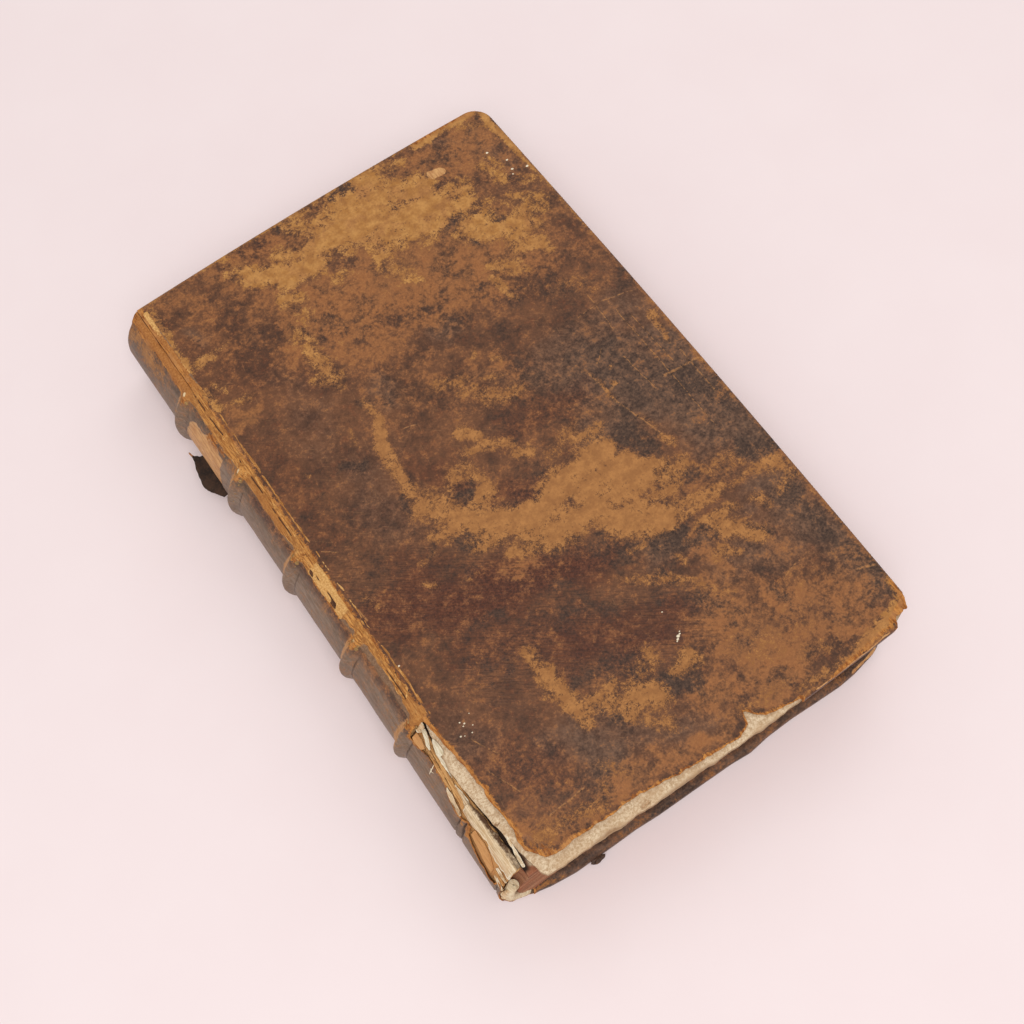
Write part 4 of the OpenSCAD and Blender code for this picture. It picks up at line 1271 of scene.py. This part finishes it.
# Shade on the tail panel's lining beside the strips: distance round the back, height, radius and strength
LINING_SHADE = [
    (14.2, -130.4, 16, -134, 1.1, 1.0), (16, -134, 18.4, -140.5, 1.1, 1.0),
    (18.4, -140.5, 20.6, -148.6, 1.1, 1.0), (15.6, -150, 16.4, -153, 0.5, 0.8),
    (12.6, -149, 13.2, -154.6, 0.4, 0.9), (10.6, -148, 11, -154.6, 0.4, 0.7),
]
FOLDED_PAPER = [
    (4, -120.6), (3.4, -125), (3.2, -131), (2.5, -137), (2.2, -143), (2.1, -149), (2.1, -154), (5, -155.2),
    (10, -155), (10.4, -150), (10.1, -146), (9.3, -142), (7.2, -139.4), (7.4, -133.4), (9.6, -129),
    (9.8, -122.4), (8.6, -120.9), (6, -120.8),
]
# Torn strips in the tail panel: kind, rise above the leather's face, outline
TORN_STRIPS = [
    ("pale", 0.9, [(0.9, -84.4), (2.4, -83.8), (3.4, -87.2), (4.9, -90.4), (4.5, -92.8), (3.2, -90.8),
                   (1.9, -88)]),
    # The next strip is pale paper laid as a painted highlight along the board's edge
    ("pale", 0.3, [(2.5, -96.4), (3.5, -95.6), (4.2, -100), (4.1, -106.4), (3.7, -108), (3.1, -103)]),
    ("glued", -0.05, [(3.6, -91.2), (4.7, -91.6), (5.6, -98), (6.6, -106), (7.8, -113), (8.9, -120.6),
                      (7.4, -121.2), (6, -115), (5.2, -108), (4.5, -101)]),
    ("glued", 0.25, [(5.3, -90.6), (6.9, -91.4), (6.9, -97), (7.6, -103), (8.2, -109), (7.7, -111.4),
                     (6.5, -105), (5.9, -98)]),
    ("cream", -0.3, [(5, -110.6), (6.1, -112), (7.5, -118.6), (7.4, -121.8), (5.4, -121.8), (4.1, -119.6)]),
    ("cream", 0.35, [(8.4, -109.2), (10.2, -110.4), (11.6, -114), (12.2, -118), (13, -121.8), (11.4, -121.8),
                     (9.7, -116.6), (8.7, -113)]),
    ("cream", -1.2, [(-0.2, -141), (0.6, -142.4), (1.0, -147), (1.5, -151), (1.7, -155), (0.8, -155.4),
                     (0.3, -150), (-0.3, -146)]),
    ("cream", 0.1, [(10.9, -148.6), (12.1, -147.8), (12.6, -155.2), (11.4, -155.8)]),
    ("glued", 0.0, [(13.2, -148.2), (14.4, -148.6), (15.4, -155), (14, -155.6)]),
    ("cream", 0.05, [(15.9, -149.2), (16.9, -149.6), (18.2, -155.2), (17, -155.8)]),
    ("skin", 0.45, [(5.5, -83), (8.6, -82.8), (9.5, -85.6), (8.7, -89.2), (6.8, -90.4), (5.3, -87)]),
    ("cream", 0.1, [(0.4, -80), (5.2, -80.4), (5.4, -83), (3.2, -84.6), (1.0, -83.8)]),
    ("skin", -0.5, [(10.2, -130.4), (13.6, -130.2), (15, -135), (16.6, -141), (18.4, -147.6), (15, -147),
                    (12, -143), (10.4, -137)]),
]


def tail_lining(material):
    """The lining paper where the leather is gone from the last panel."""
    def shape(s, y, near):
        rise = -1.0 + 0.12 * wave(s * 2, y * 0.3, 5, 101, 2) - 0.5 * smooth(6, 2.5, s)
        # Painted shade: the lining darkens beside the strips and towards the joint
        dirt_and_shade = np.maximum(strokes_at(s, y, LINING_SHADE, 0.8), 0.55 * smooth(6, 3, s))
        raw = smooth(11, 13, s) * smooth(-131, -136, y) * smooth(-151, -147, y)
        return rise, {"dirt_and_shade": dirt_and_shade, "bright": np.zeros(len(s)), "raw": raw}

    far = BACK_GIRTH - 7
    near_side = [(3, -82), (4.6, -106), (4.0, -120), (3.2, -134), (3, -150), (3, -154.8)]
    outline = near_side + [(far, -154.8), (far, -82)]
    piece = paper_leaf("tail_lining", outline, shape, 0.9, material, 102, 0.2, 0.95)
    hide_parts("spine_lining_6")


def folded_paper(material):
    """Paper that is folded up beside the joint, on top of the lining."""
    def shape(s, y, near):
        t = np.clip((s - 3.4) / 6.6, 0, 1)
        hump = 1.5 * np.sin(math.pi * np.clip(t * 0.8 + 0.12, 0, 1)) - 0.55
        rise = hump + 0.2 * wave(s * 1.5, y * 0.3, 4, 103, 3) - 0.5 * smooth(4.8, 2.6, s)
        far_edge = smooth(5.6, 8, s) * smooth(1.0, 0.1, near) * (0.8 + 0.5 * wave(s, y, 3, 108, 2))
        # Painted shade: the fold darkens on its side towards the joint, where it turns down
        dirt_and_shade = np.clip(0.6 * smooth(4.8, 3.4, s) + 0.2 + 0.3 * wave(s, y * 0.4, 5, 107, 2), 0, 1)
        return rise, {"dirt_and_shade": dirt_and_shade, "bright": 1.1 * far_edge + 0.4 * smooth(-146, -153, y)}

    paper_leaf("folded_paper", FOLDED_PAPER, shape, 0.75, material, 104, 0.42)


def torn_strip(k, outline, lift, material, whiteness, flesh):
    """One strip of paper or leather, with an edge as white and a face as raw as it is told."""
    def shape(s, y, near):
        rise = lift + 0.25 * wave(s, y * 0.4, 4, 110 + k, 2) + 0.2 * smooth(0.7, 0, near)
        dirt_and_shade = 0.25 + 0.35 * wave(s * 2, y * 0.3, 4, 190 + k, 2)
        bright = whiteness * smooth(0.7, 0.1, near) * (0.8 + wave(s, y, 2, 230 + k, 2))
        return rise, {"dirt_and_shade": dirt_and_shade, "bright": bright, "raw": np.full(len(s), flesh)}

    paper_leaf(f"torn_strip_{k + 1}", outline, shape, 0.42, material, 130 + 2 * k, 0.22, 0.6)


def tail_panel(cream, glued, pale):
    """The layers that show where the leather is gone from the last panel."""
    tail_lining(glued)
    folded_paper(cream)
    kinds = {"pale": (pale, 0.55, 0.0), "cream": (cream, 0.55, 0.0), "glued": (glued, 0.1, 0.0),
             "skin": (glued, 0.1, 0.8)}
    for k, (kind, lift, outline) in enumerate(TORN_STRIPS):
        torn_strip(k, outline, lift, *kinds[kind])


def curled_flake(material):
    """A flake of paper that has curled up beside the board, near the last band."""
    rows, columns = 14, 9
    t, u = pairs(np.linspace(0, 1, rows), np.linspace(-1, 1, columns))
    width = 1.7 * np.sqrt(np.clip(t * 1.15, 0, 1)) * (1 - 0.55 * t**6)
    s = 1.3 + 0.2 * t + u * width
    y = -89.6 - 8.4 * t
    rise = 0.1 + 1.1 * (u * 0.5 + 0.5) ** 1.5 * t + 0.5 * t
    places = back_place(s, y, rise)
    marks = {"dirt_and_shade": np.full(len(places), 0.15), "bright": np.full(len(places), 0.25)}
    triangles = facing_up(places, rows, columns)
    shell_piece("curled_flake", places, triangles, 0.35, "book_block", material, marks)


def tail_core_roll(material):
    """The rolled paper core of the tail endband, bent round the back, with its wound end facing up."""
    s = np.linspace(14.4, BACK_GIRTH - 6, 60)
    path = back_place(s, -157.2 + 0.15 * wave(s, 0, 7, 141), -3.3)
    radius = 2.45 + 0.1 * wave(s, 5, 6, 142, 2)
    across = 36
    body, faces = tube(path, radius, across, closed_ends=False)
    ahead = path[1] - path[0]
    ahead /= np.linalg.norm(ahead)
    centre, first = path[0], body[:across]
    rings = [(0.93, 0.25), (0.86, 0.12), (0.78, 0.28), (0.68, 0.1), (0.58, 0.3), (0.46, 0.08),
             (0.34, 0.26), (0.2, 0.1), (0.16, -1.4)]
    parts = [body]
    previous = np.arange(across)
    start = len(body)
    for share, lift in rings:
        parts.append(centre + (first - centre) * share - ahead * lift)
        current = start + np.arange(across)
        faces += [(previous[k], previous[(k + 1) % across], current[(k + 1) % across], current[k])
                  for k in range(across)]
        previous, start = current, start + across
    faces.append(tuple(previous))
    last = (len(path) - 1) * across
    faces.append(tuple(last + k for k in range(across)))
    faces = [list(face)[::-1] for face in faces[:-1]] + [faces[-1]]
    places = np.concatenate(parts)
    dirt_and_shade = 0.05 + 0.25 * wave(places[:, 0], places[:, 2], 4, 143, 2)
    marks = {"dirt_and_shade": dirt_and_shade, "bright": np.zeros(len(places))}
    piece = finish_piece("tail_core_roll", places, faces, "book_block", material, marks, 40)
    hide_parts("tail_endband_core")


def lump(centre, size, seed, rows, columns):
    """A crumpled lump: a noisy ellipsoid."""
    polar = np.linspace(0, math.pi, rows)[1:-1]
    around = np.linspace(0, 2 * math.pi, columns, endpoint=False)
    p, a = pairs(polar, around)
    bumpy = 1 + 0.28 * wave(np.cos(a) * 2 + 9, np.sin(a) * 2 + p * 1.4, 1.0, seed, 3)
    ball = np.stack([np.sin(p) * np.cos(a), np.sin(p) * np.sin(a), np.cos(p)], 1) * bumpy[:, None]
    ball = np.concatenate([ball, [[0, 0, 1], [0, 0, -1]]])
    faces = [list(face)[::-1] for face in grid_faces(rows - 2, columns, closed_columns=True).tolist()]
    top, bottom, last = len(ball) - 2, len(ball) - 1, (rows - 3) * columns
    faces += [[top, k, (k + 1) % columns] for k in range(columns)]
    faces += [[bottom, last + (k + 1) % columns, last + k] for k in range(columns)]
    return np.asarray(centre) + ball * np.asarray(size), faces


def lump_piece(name, lumps, body, material, marks, rows=12, columns=16):
    """Several lumps as one piece, with one number for each mark."""
    parts, faces, start = [], [], 0
    for k, (centre, size) in enumerate(lumps):
        places, around = lump(centre, size, 150 + 7 * k, rows, columns)
        parts.append(places)
        faces += [[corner + start for corner in face] for face in around]
        start += len(places)
    places = np.concatenate(parts)
    marks = {key: np.full(len(places), value) for key, value in marks.items()}
    return finish_piece(name, places, faces, body, material, marks)


def frayed_paper(material):
    """Crumpled bits of paper beside the end of the roll."""
    places = [(17.6, -157.6, -0.8, 1.0), (19.8, -157.0, -0.6, 1.2), (22, -157.2, -1.0, 1.2),
              (18.6, -155.6, -0.4, 0.8), (24.4, -157.6, -1.2, 1.2)]
    lumps = [(back_place(s, y, rise), (size, size * 0.8, size * 1.2)) for s, y, rise, size in places]
    lump_piece("frayed_paper", lumps, "book_block", material, {"dirt_and_shade": 0.25, "bright": 0.2})


def white_thread(material):
    """A loose white thread with a side strand, beside the rim of the spine's leather."""
    path = [(7.6, -98.2, 0.5), (8.8, -98.9, 1.1), (10.2, -99.2, 1.2), (12.3, -99.4, 0.9)]
    side_path = [(9.4, -98.4, 1.1), (9.9, -99.6, 1.3), (9.7, -100.8, 1.0)]
    places, faces = tube([back_place(*point) for point in path], [0.14, 0.22, 0.2, 0.12], 6)
    side, more = tube([back_place(*point) for point in side_path], [0.1, 0.18, 0.1], 6)
    faces += [[k + len(places) for k in face] for face in more]
    places = np.concatenate([places, side])
    marks = {"bright": np.ones(len(places))}
    finish_piece("white_thread", places, faces, "book_block", material, marks)


def flap_calf(name):
    """The flap's leather, coloured nearly black, with paler raw leather at its torn tip."""
    paint = Paint(name, roughness=0.75, specular=0.25)
    broad = paint.noise(7, 5, 0.6)
    fine = paint.noise(0.9, 5, 0.65)
    base = paint.between(broad, 0.36, 0.66, (38, 26, 20), (66, 45, 32))
    base = paint.patches(base, fine, 0.5, 0.7, 0.5, (84, 60, 44))
    base = paint.mix(paint.soft_mask("raw", fine, 0.35, 0.7, 0.8), base, srgb(160, 108, 66))
    paint.colour(base)
    paint.set("Normal", paint.bump(paint.plus(broad, fine), 0.2, 0.8))
    return paint.material


def torn_flap(material):
    """The strip of leather that has peeled from the second panel and hangs out behind the back."""
    outline = [(0, 75), (2.2, 73), (4, 73), (5.4, 75.4), (7.2, 78.4), (8.6, 81.8), (9.2, 85), (8.3, 90.3),
               (7.5, 93), (5.7, 99.6), (5.9, 103.4), (4.6, 100.2), (2.4, 98), (0, 97.5)]
    loop = ragged(outline + [outline[0]], 0.7, 0.25, 161, 3)[:-1]
    flat, triangles = fill(loop, grid_points((0, 70), (10, 104), 0.8, 162), 0.4)
    u, y = flat.T
    near = distance_to(loop, flat)
    z = 19.4 - 0.03 * u**2 + 0.5 * wave(u, y, 7, 163, 2) + 0.5 * smooth(96, 103, y) + 0.6 * smooth(3, 0, u)
    places = np.stack([-110.6 - u, y, z], 1)
    marks = {"raw": 0.8 * smooth(0.9, 0.1, near) * smooth(98, 102, y)}
    shell_piece("torn_flap", places, triangles[:, ::-1], 0.7, "book_block", material, marks)


def joint_fibres(name):
    """The cracked joint: frayed orange fibres, with painted shade in the slots between them."""
    paint = Paint(name, roughness=0.85, specular=0.25)
    strand = paint.noise(1, 5, 0.6, paint.stretch(2.0, 0.1, 2.0), distortion=0.3)
    fibre = paint.noise(1, 6, 0.65, paint.stretch(1.2, 0.3, 1.2))
    patch = paint.noise(5, 5, 0.6)
    fine = paint.noise(0.8, 5, 0.7)
    base = paint.between(strand, 0.36, 0.64, (140, 84, 38), (206, 144, 76))
    base = paint.patches(base, fibre, 0.5, 0.68, 0.7, (224, 172, 104))
    base = paint.patches(base, patch, 0.48, 0.62, 0.7, (150, 98, 52))
    base = paint.patches(base, fine, 0.54, 0.7, 0.7, (92, 56, 32))
    smooth_skin = paint.between(fine, 0.34, 0.66, (152, 94, 44), (184, 124, 68))
    base = paint.mix(paint.mark("whole"), base, smooth_skin)
    pale = paint.soft_mask("pale", fine, 0.35, 0.7, 0.9)
    base = paint.mix(pale, base, paint.between(fine, 0.36, 0.64, (190, 136, 74), (226, 178, 112)))
    # Painted shade: dark brown in the slots between the fibres and along the joint's groove
    slot_shade = paint.soft_mask("slot_shade", fine, 0.35, 0.7, 0.8)
    base = paint.mix(slot_shade, base, paint.between(fibre, 0.3, 0.7, (64, 40, 26), (104, 68, 44)))
    brown = paint.between(fine, 0.34, 0.66, (116, 86, 64), (146, 114, 88))
    base = paint.mix(paint.soft_mask("brown", fine, 0.35, 0.7, 0.9), base, brown)
    base = paint.mix(paint.soft_mask("cord", fine, 0.4, 0.7, 0.4), base, srgb(226, 200, 156))
    paint.colour(base)
    paint.set("Normal", paint.bump(paint.plus(strand, fine), 0.22, 0.8))
    return paint.material


# Where the cords' cream ends show in the joint: height, distance from the joint, and strength
CORD_ENDS = ((113.6, -3.0, 1.0), (65.4, -3.2, 1.0), (-33.5, -4.6, 0.9))


def upper_joint_strip(material):
    """The soft leather over the front joint, which runs from the back onto the cover. t is the distance from
    the joint.
    """
    t = np.linspace(-5.6, 5.2, 37)
    y = np.arange(-81.5, 163.5, 0.62)
    yy, tt = pairs(y, t)
    frayed = smooth(116, 108, yy)
    sway = 0.55 * wave(yy, 0, 9, 171, 3)
    flow = 0.5 * wave(yy, 8, 12, 173, 3)
    reach = np.interp(yy, *FIBRE_REACH) + 0.45 * wave(yy, 14, 3, 180, 3)
    knotty = smooth(8, 4, yy) * smooth(-23, -20, yy)
    block = smooth(-68, -70, yy)
    outer_line = ridge(tt, 4.1 + sway * 0.6, 0.38) * smooth(-0.5, 0.1, wave(yy, 3, 7, 172, 3))
    middle_strand = ridge(tt, 0.7 + flow, 0.7)
    swing = 2.3 * np.cos((yy + 64) * 0.36)
    crossing = ridge(tt, 0.2 + swing, 0.4) + ridge(tt, 0.2 - swing, 0.4)
    crossing *= smooth(-54, -58, yy) * (1 - block)
    fold = ridge(tt, -reach * 0.55, np.maximum(reach, 1) * 0.5) * smooth(1.8, 2.8, reach)
    between = smooth(3.8, 3.2, tt) * smooth(1.3, 1.9, tt - flow) * (0.55 + 0.5 * wave(yy, tt * 2, 5, 175, 3))
    inner_slot = ridge(tt, -0.6 + flow * 0.8, 0.4) * smooth(-0.1, 0.3, wave(yy, 31, 9, 176, 3)) * (1 - knotty)
    holes = knotty * smooth(0.15, 0.5, wave(tt * 1.2, yy * 0.45, 2.0, 181, 2)) * smooth(-1.5, -2.2, tt)
    slots = np.clip(np.maximum.reduce([between, inner_slot, holes]), 0, 1) * (1 - 0.8 * block)
    bent = tt + 0.45 * wave(yy, 70, 11, 182, 3)
    smooth_part = 0.85 * ridge(bent, -2.8, 1.8) + 0.6 * ridge(bent, 2.8, 1.5) - 0.9 * ridge(bent, 0.0, 0.7)
    relief = frayed * (0.4 * outer_line + 0.5 * middle_strand + 0.5 * fold + 0.3 * crossing - 0.45 * slots)
    relief += (1 - frayed) * smooth_part + (0.07 + 0.12 * frayed) * wave(tt * 2.2, yy * 0.5, 1.6, 177, 3)
    knots = np.zeros(len(tt))
    cords = np.zeros(len(tt))
    for band_y in BAND_YS:
        knots += ridge(yy - band_y, 0.6, 3.2) * ridge(tt, -2.2, 3.0)
    for spot_y, spot_t, strength in CORD_ENDS:
        cords += strength * ridge(yy, spot_y, 1.0) * ridge(tt, spot_t, 1.5)
    relief += 0.75 * knots
    near_knot = np.clip(1.3 * knots, 0, 1)
    spine_side = tt + 5.6 + 0.5 * wave(yy, 50, 3, 178, 3)
    cover_side = 5.2 - tt - 0.5 * wave(yy, 60, 3, 179, 3)
    border = np.minimum(1, np.minimum(spine_side, cover_side) / 1.1)
    ends = np.minimum(1, np.minimum(yy + 81.5, 163.5 - yy) / 1.5)
    sunk = np.clip(np.minimum(border, ends), 0, 1)
    rise = (0.12 + relief) * sunk - 0.45 * (1 - sunk)
    spine_part = back_place(np.maximum(-tt, 0), yy, rise + band_bump(np.maximum(-tt, 0), yy) * (tt < 0))
    cover_part = np.stack([JOINT_X + tt, yy, BOOK_T - 0.1 + rise], 1)
    share = smooth(-0.9, 0.9, tt)[:, None]
    places = spine_part * (1 - share) + cover_part * share
    places[:, 0] = np.where(tt < 0, np.minimum(places[:, 0], JOINT_X + 0.3), places[:, 0])
    places[:, 2] = np.minimum(places[:, 2], BOOK_T + 1.1)
    beyond = smooth(reach - 0.3, reach + 0.5, -tt) * (1 - near_knot)
    groove = (1 - frayed) * (0.7 + 0.4 * wave(yy, 80, 6, 183, 2)) * ridge(bent, 0.0, 0.5)
    tan_side = (1 - frayed) * smooth(0.8, 1.8, bent) * (0.25 + 0.5 * smooth(138, 158, yy))
    brown_line = bent + 1.2 * wave(yy, tt * 2, 4, 184, 3)
    brown_side = (1 - frayed) * smooth(2.6, 4.6, brown_line) * smooth(164, 146, yy)
    whole = (1 - frayed) + 0.6 * smooth(24, 30, yy) * smooth(62, 56, yy) * smooth(0, -1, tt) + 0.5 * block
    marks = {
        # Painted shade in the slots, holes and groove of the cracked joint
        "slot_shade": np.clip(slots * frayed * (1 - near_knot) + groove, 0, 1),
        "brown": np.clip(0.95 * beyond - 0.4 * crossing + 0.9 * brown_side, 0, 1),
        "cord": cords,
        "whole": np.clip(whole, 0, 1),
        "pale": np.clip(0.8 * knotty + 0.6 * crossing + tan_side + 0.5 * outer_line, 0, 1),
    }
    triangles = facing_up(places, len(y), len(t))
    piece = shell_piece("upper_joint_strip", places, triangles, 0.5, None, material, marks, 70)
    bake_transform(piece)


def lower_joint_strip(material):
    """The soft leather that joins the back cover to the spine, inside the two skins."""
    x = np.linspace(JOINT_X - 2.2, JOINT_X + 2.2, 12)
    y = np.arange(-158, 162, 3.0)
    yy, xx = pairs(y, x)
    top = np.stack([xx, yy, 0.72 + 0.05 * wave(xx, yy, 3, 181, 2)], 1)
    triangles = facing_up(top, len(y), len(x))
    piece = shell_piece("lower_joint_strip", top, triangles, 0.55, None, material)
    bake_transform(piece)


def head_endband(core_paint, thread):
    """The core at the head, and the thread wound round it, under the leather cap."""
    s = np.linspace(6.5, BACK_GIRTH - 6.5, 240)
    middle_y = (HEAD_CORE_LOW[1] + HEAD_CORE_HIGH[1]) / 2
    path = back_place(s, middle_y, -4.0)
    places, faces = tube(path[::4], 1.4, 14)
    core = finish_piece("head_core", places, faces, "book_block", core_paint)
    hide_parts("head_endband_core")
    places, faces = tube(path, 1.85 + 0.12 * np.cos(s * 2 * math.pi / 0.9), 16)
    threads = finish_piece("head_threads", places, faces, "book_block", thread)
    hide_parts("head_endband_sewing")


def black_tag(material):
    """A black scrap of leather at the back cover's tail edge."""
    lumps = [((-69.6, -164.7, 3.4), (3.6, 1.6, 0.9))]
    lump_piece("black_tag", lumps, "back_cover", material, {"dark": 1.6})


def white_specks(material):
    """Small flakes of whitish matter on the front cover."""
    spots = [(85.8, 139.1, 0.7), (91.4, 129.8, 0.6), (90.3, 123.9, 0.7), (89, 121.3, 0.5),
             (97.2, 120.9, 0.7), (9.7, -114.6, 0.9), (8.6, -115.6, 0.6), (10.8, -114.1, 0.5),
             (7.9, -116.2, 0.4), (11.4, -113.2, 0.4), (10.7, -101.9, 0.4), (-95.1, -55.2, 0.55),
             (-88, -91, 0.45), (-86.6, -92.4, 0.5), (-87.6, -93.2, 0.4), (-91, -96.2, 0.45),
             (-84, -95, 0.35), (-89.4, -97, 0.3), (-86, -97.6, 0.35), (-82.5, -90, 0.3)]
    lumps = [((x, y, BOOK_T + 0.05), (size, size * 0.8, 0.3)) for x, y, size in spots]
    lump_piece("white_specks", lumps, "front_cover", material, {"bright": 1.0}, 7, 10)


def pasted_leaf(name, node, tail_y, body, material):
    """The paper pasted inside a cover, over the leather's turned-in edges."""
    low, high = (corner[2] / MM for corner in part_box(node))
    outline = [(-99.4, 160.6), (-99.4, -100), (-97, -140), (-94.6, tail_y), (95.2, tail_y), (95.4, 160.6)]
    loop = resample(outline + outline[:1], 2.5)[:-1]
    flat, triangles = fill(loop, grid_points((-99.4, tail_y), (95.4, 160.6), 5, 69), 2)
    places = np.column_stack([flat, np.full(len(flat), high)])
    marks = {"dirt_and_shade": np.full(len(places), 0.15)}
    piece = shell_piece(name, places, triangles, high - low, body, material, marks, 40)
    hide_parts(node)


# The photo's camera, fitted to the covers' corners
CAMERA_PLACE = Vector((-139.01, -249.77, 667.37)) * MM
CAMERA_RIGHT = Vector((0.81702, -0.57489, -0.04455))
CAMERA_DOWN = Vector((-0.54585, -0.74622, -0.38105))
CAMERA_AHEAD = Vector((0.18581, 0.33564, -0.92348))
FOCAL_PIXELS = 1500
IMAGE_PIXELS = 1024


def make_camera():
    """The camera that the size was found with."""
    camera = bpy.data.objects.new("camera", bpy.data.cameras.new("camera"))
    camera.data.sensor_width = 36
    camera.data.lens = 36 * FOCAL_PIXELS / IMAGE_PIXELS
    camera.data.clip_end = 50
    axes = (CAMERA_RIGHT, -CAMERA_DOWN, -CAMERA_AHEAD)
    turn = Matrix([[axis[k] for axis in axes] for k in range(3)]).to_4x4()
    camera.matrix_world = Matrix.Translation(CAMERA_PLACE) @ turn
    bpy.context.collection.objects.link(camera)
    bpy.context.scene.camera = camera


FLOOR_COLOUR = srgb(242, 226, 226)
SKY_STRENGTH = 0.6


def make_stage():
    """A pale seamless floor, and a world of the same colour behind it."""
    floor_mesh = bpy.data.meshes.new("floor")
    half = 4.0
    corners = [(-half, -half, 0), (half, -half, 0), (half, half, 0), (-half, half, 0)]
    floor_mesh.from_pydata(corners, [], [(0, 1, 2, 3)])
    floor = bpy.data.objects.new("floor", floor_mesh)
    bpy.context.collection.objects.link(floor)
    paint = Paint("floor_cloth", roughness=0.95, specular=0.0)
    paint.colour(paint.mix(paint.noise(60, 3), srgb(240, 223, 223), srgb(244, 229, 229)))
    floor_mesh.materials.append(paint.material)

    world = bpy.data.worlds.new("studio")
    bpy.context.scene.world = world
    world.use_nodes = True
    nodes, links = world.node_tree.nodes, world.node_tree.links
    nodes.clear()
    out = nodes.new("ShaderNodeOutputWorld")
    sky, backdrop, either = (nodes.new(kind) for kind in (
        "ShaderNodeBackground", "ShaderNodeBackground", "ShaderNodeMixShader"))
    sky.inputs[0].default_value = (1.0, 0.99, 0.98, 1)
    sky.inputs[1].default_value = SKY_STRENGTH
    backdrop.inputs[0].default_value = FLOOR_COLOUR
    backdrop.inputs[1].default_value = 1.0
    rays = nodes.new("ShaderNodeLightPath")
    links.new(rays.outputs["Is Camera Ray"], either.inputs[0])
    links.new(sky.outputs[0], either.inputs[1])
    links.new(backdrop.outputs[0], either.inputs[2])
    links.new(either.outputs[0], out.inputs[0])


# The lamps: name, place in metres, size and watts
LAMPS = [
    ("front_softbox", (-0.45, -0.85, 2.0), 1.3, 23.5),
    ("side_softbox", (1.2, 0.9, 1.6), 1.3, 5.0),
]


def make_lights():
    """Square lamps that face the book."""
    for name, place, size, power in LAMPS:
        data = bpy.data.lights.new(name, "AREA")
        data.shape = "SQUARE"
        data.size = size
        data.energy = power
        lamp = bpy.data.objects.new(name, data)
        lamp.location = place
        lamp.rotation_euler = (-Vector(place)).to_track_quat("-Z", "Y").to_euler()
        bpy.context.collection.objects.link(lamp)


def main():
    """The camera, stage and lights, then every piece from the covers to the papers inside them."""
    make_camera()
    make_stage()
    make_lights()
    bpy.context.scene.view_settings.view_transform = "Standard"
    cover = calf("cover_calf_worn", (80, 52, 37), (108, 71, 49), (128, 83, 54), scratched=True)
    spine = calf("spine_calf_worn", (90, 68, 52), (112, 88, 70), (124, 94, 70), painted_sheen=0.7)
    board = pasteboard("bare_pasteboard")
    lining = old_paper("glued_lining", (168, 116, 66), (222, 174, 114), (182, 116, 60))
    cream = old_paper("cream_paper", (190, 159, 119), (236, 213, 179), (202, 154, 102))
    bright = old_paper("pale_paper", (204, 186, 152), (238, 226, 202))
    pasted = old_paper("pasted_paper", (198, 179, 149), (212, 195, 165), (188, 160, 122), 0.8)
    upper_cover_skin(cover)
    lower_cover_skin(cover)
    upper_pasteboard(board)
    lower_pasteboard(board)
    spine_skin(spine)
    torn_flap(flap_calf("flap_calf"))
    upper_joint_strip(joint_fibres("cracked_joint"))
    lower_joint_strip(spine)
    page_block(leaf_paper("leaves"))
    back_linings(lining)
    sewing_cords(old_paper("hemp", (128, 96, 58), (178, 142, 92)))
    tail_panel(cream, lining, bright)
    curled_flake(bright)
    tail_core_roll(old_paper("roll_paper", (204, 180, 144), (234, 218, 186), (206, 172, 124), 0.8))
    frayed_paper(cream)
    white_thread(bright)
    head_endband(cream, thread_paint("endband_silk"))
    black_tag(cover)
    white_specks(bright)
    pasted_leaf("upper_pasted_leaf", "upper_pastedown", -159.2, "front_cover", pasted)
    pasted_leaf("lower_pasted_leaf", "lower_pastedown", -158.8, "back_cover", pasted)


main()
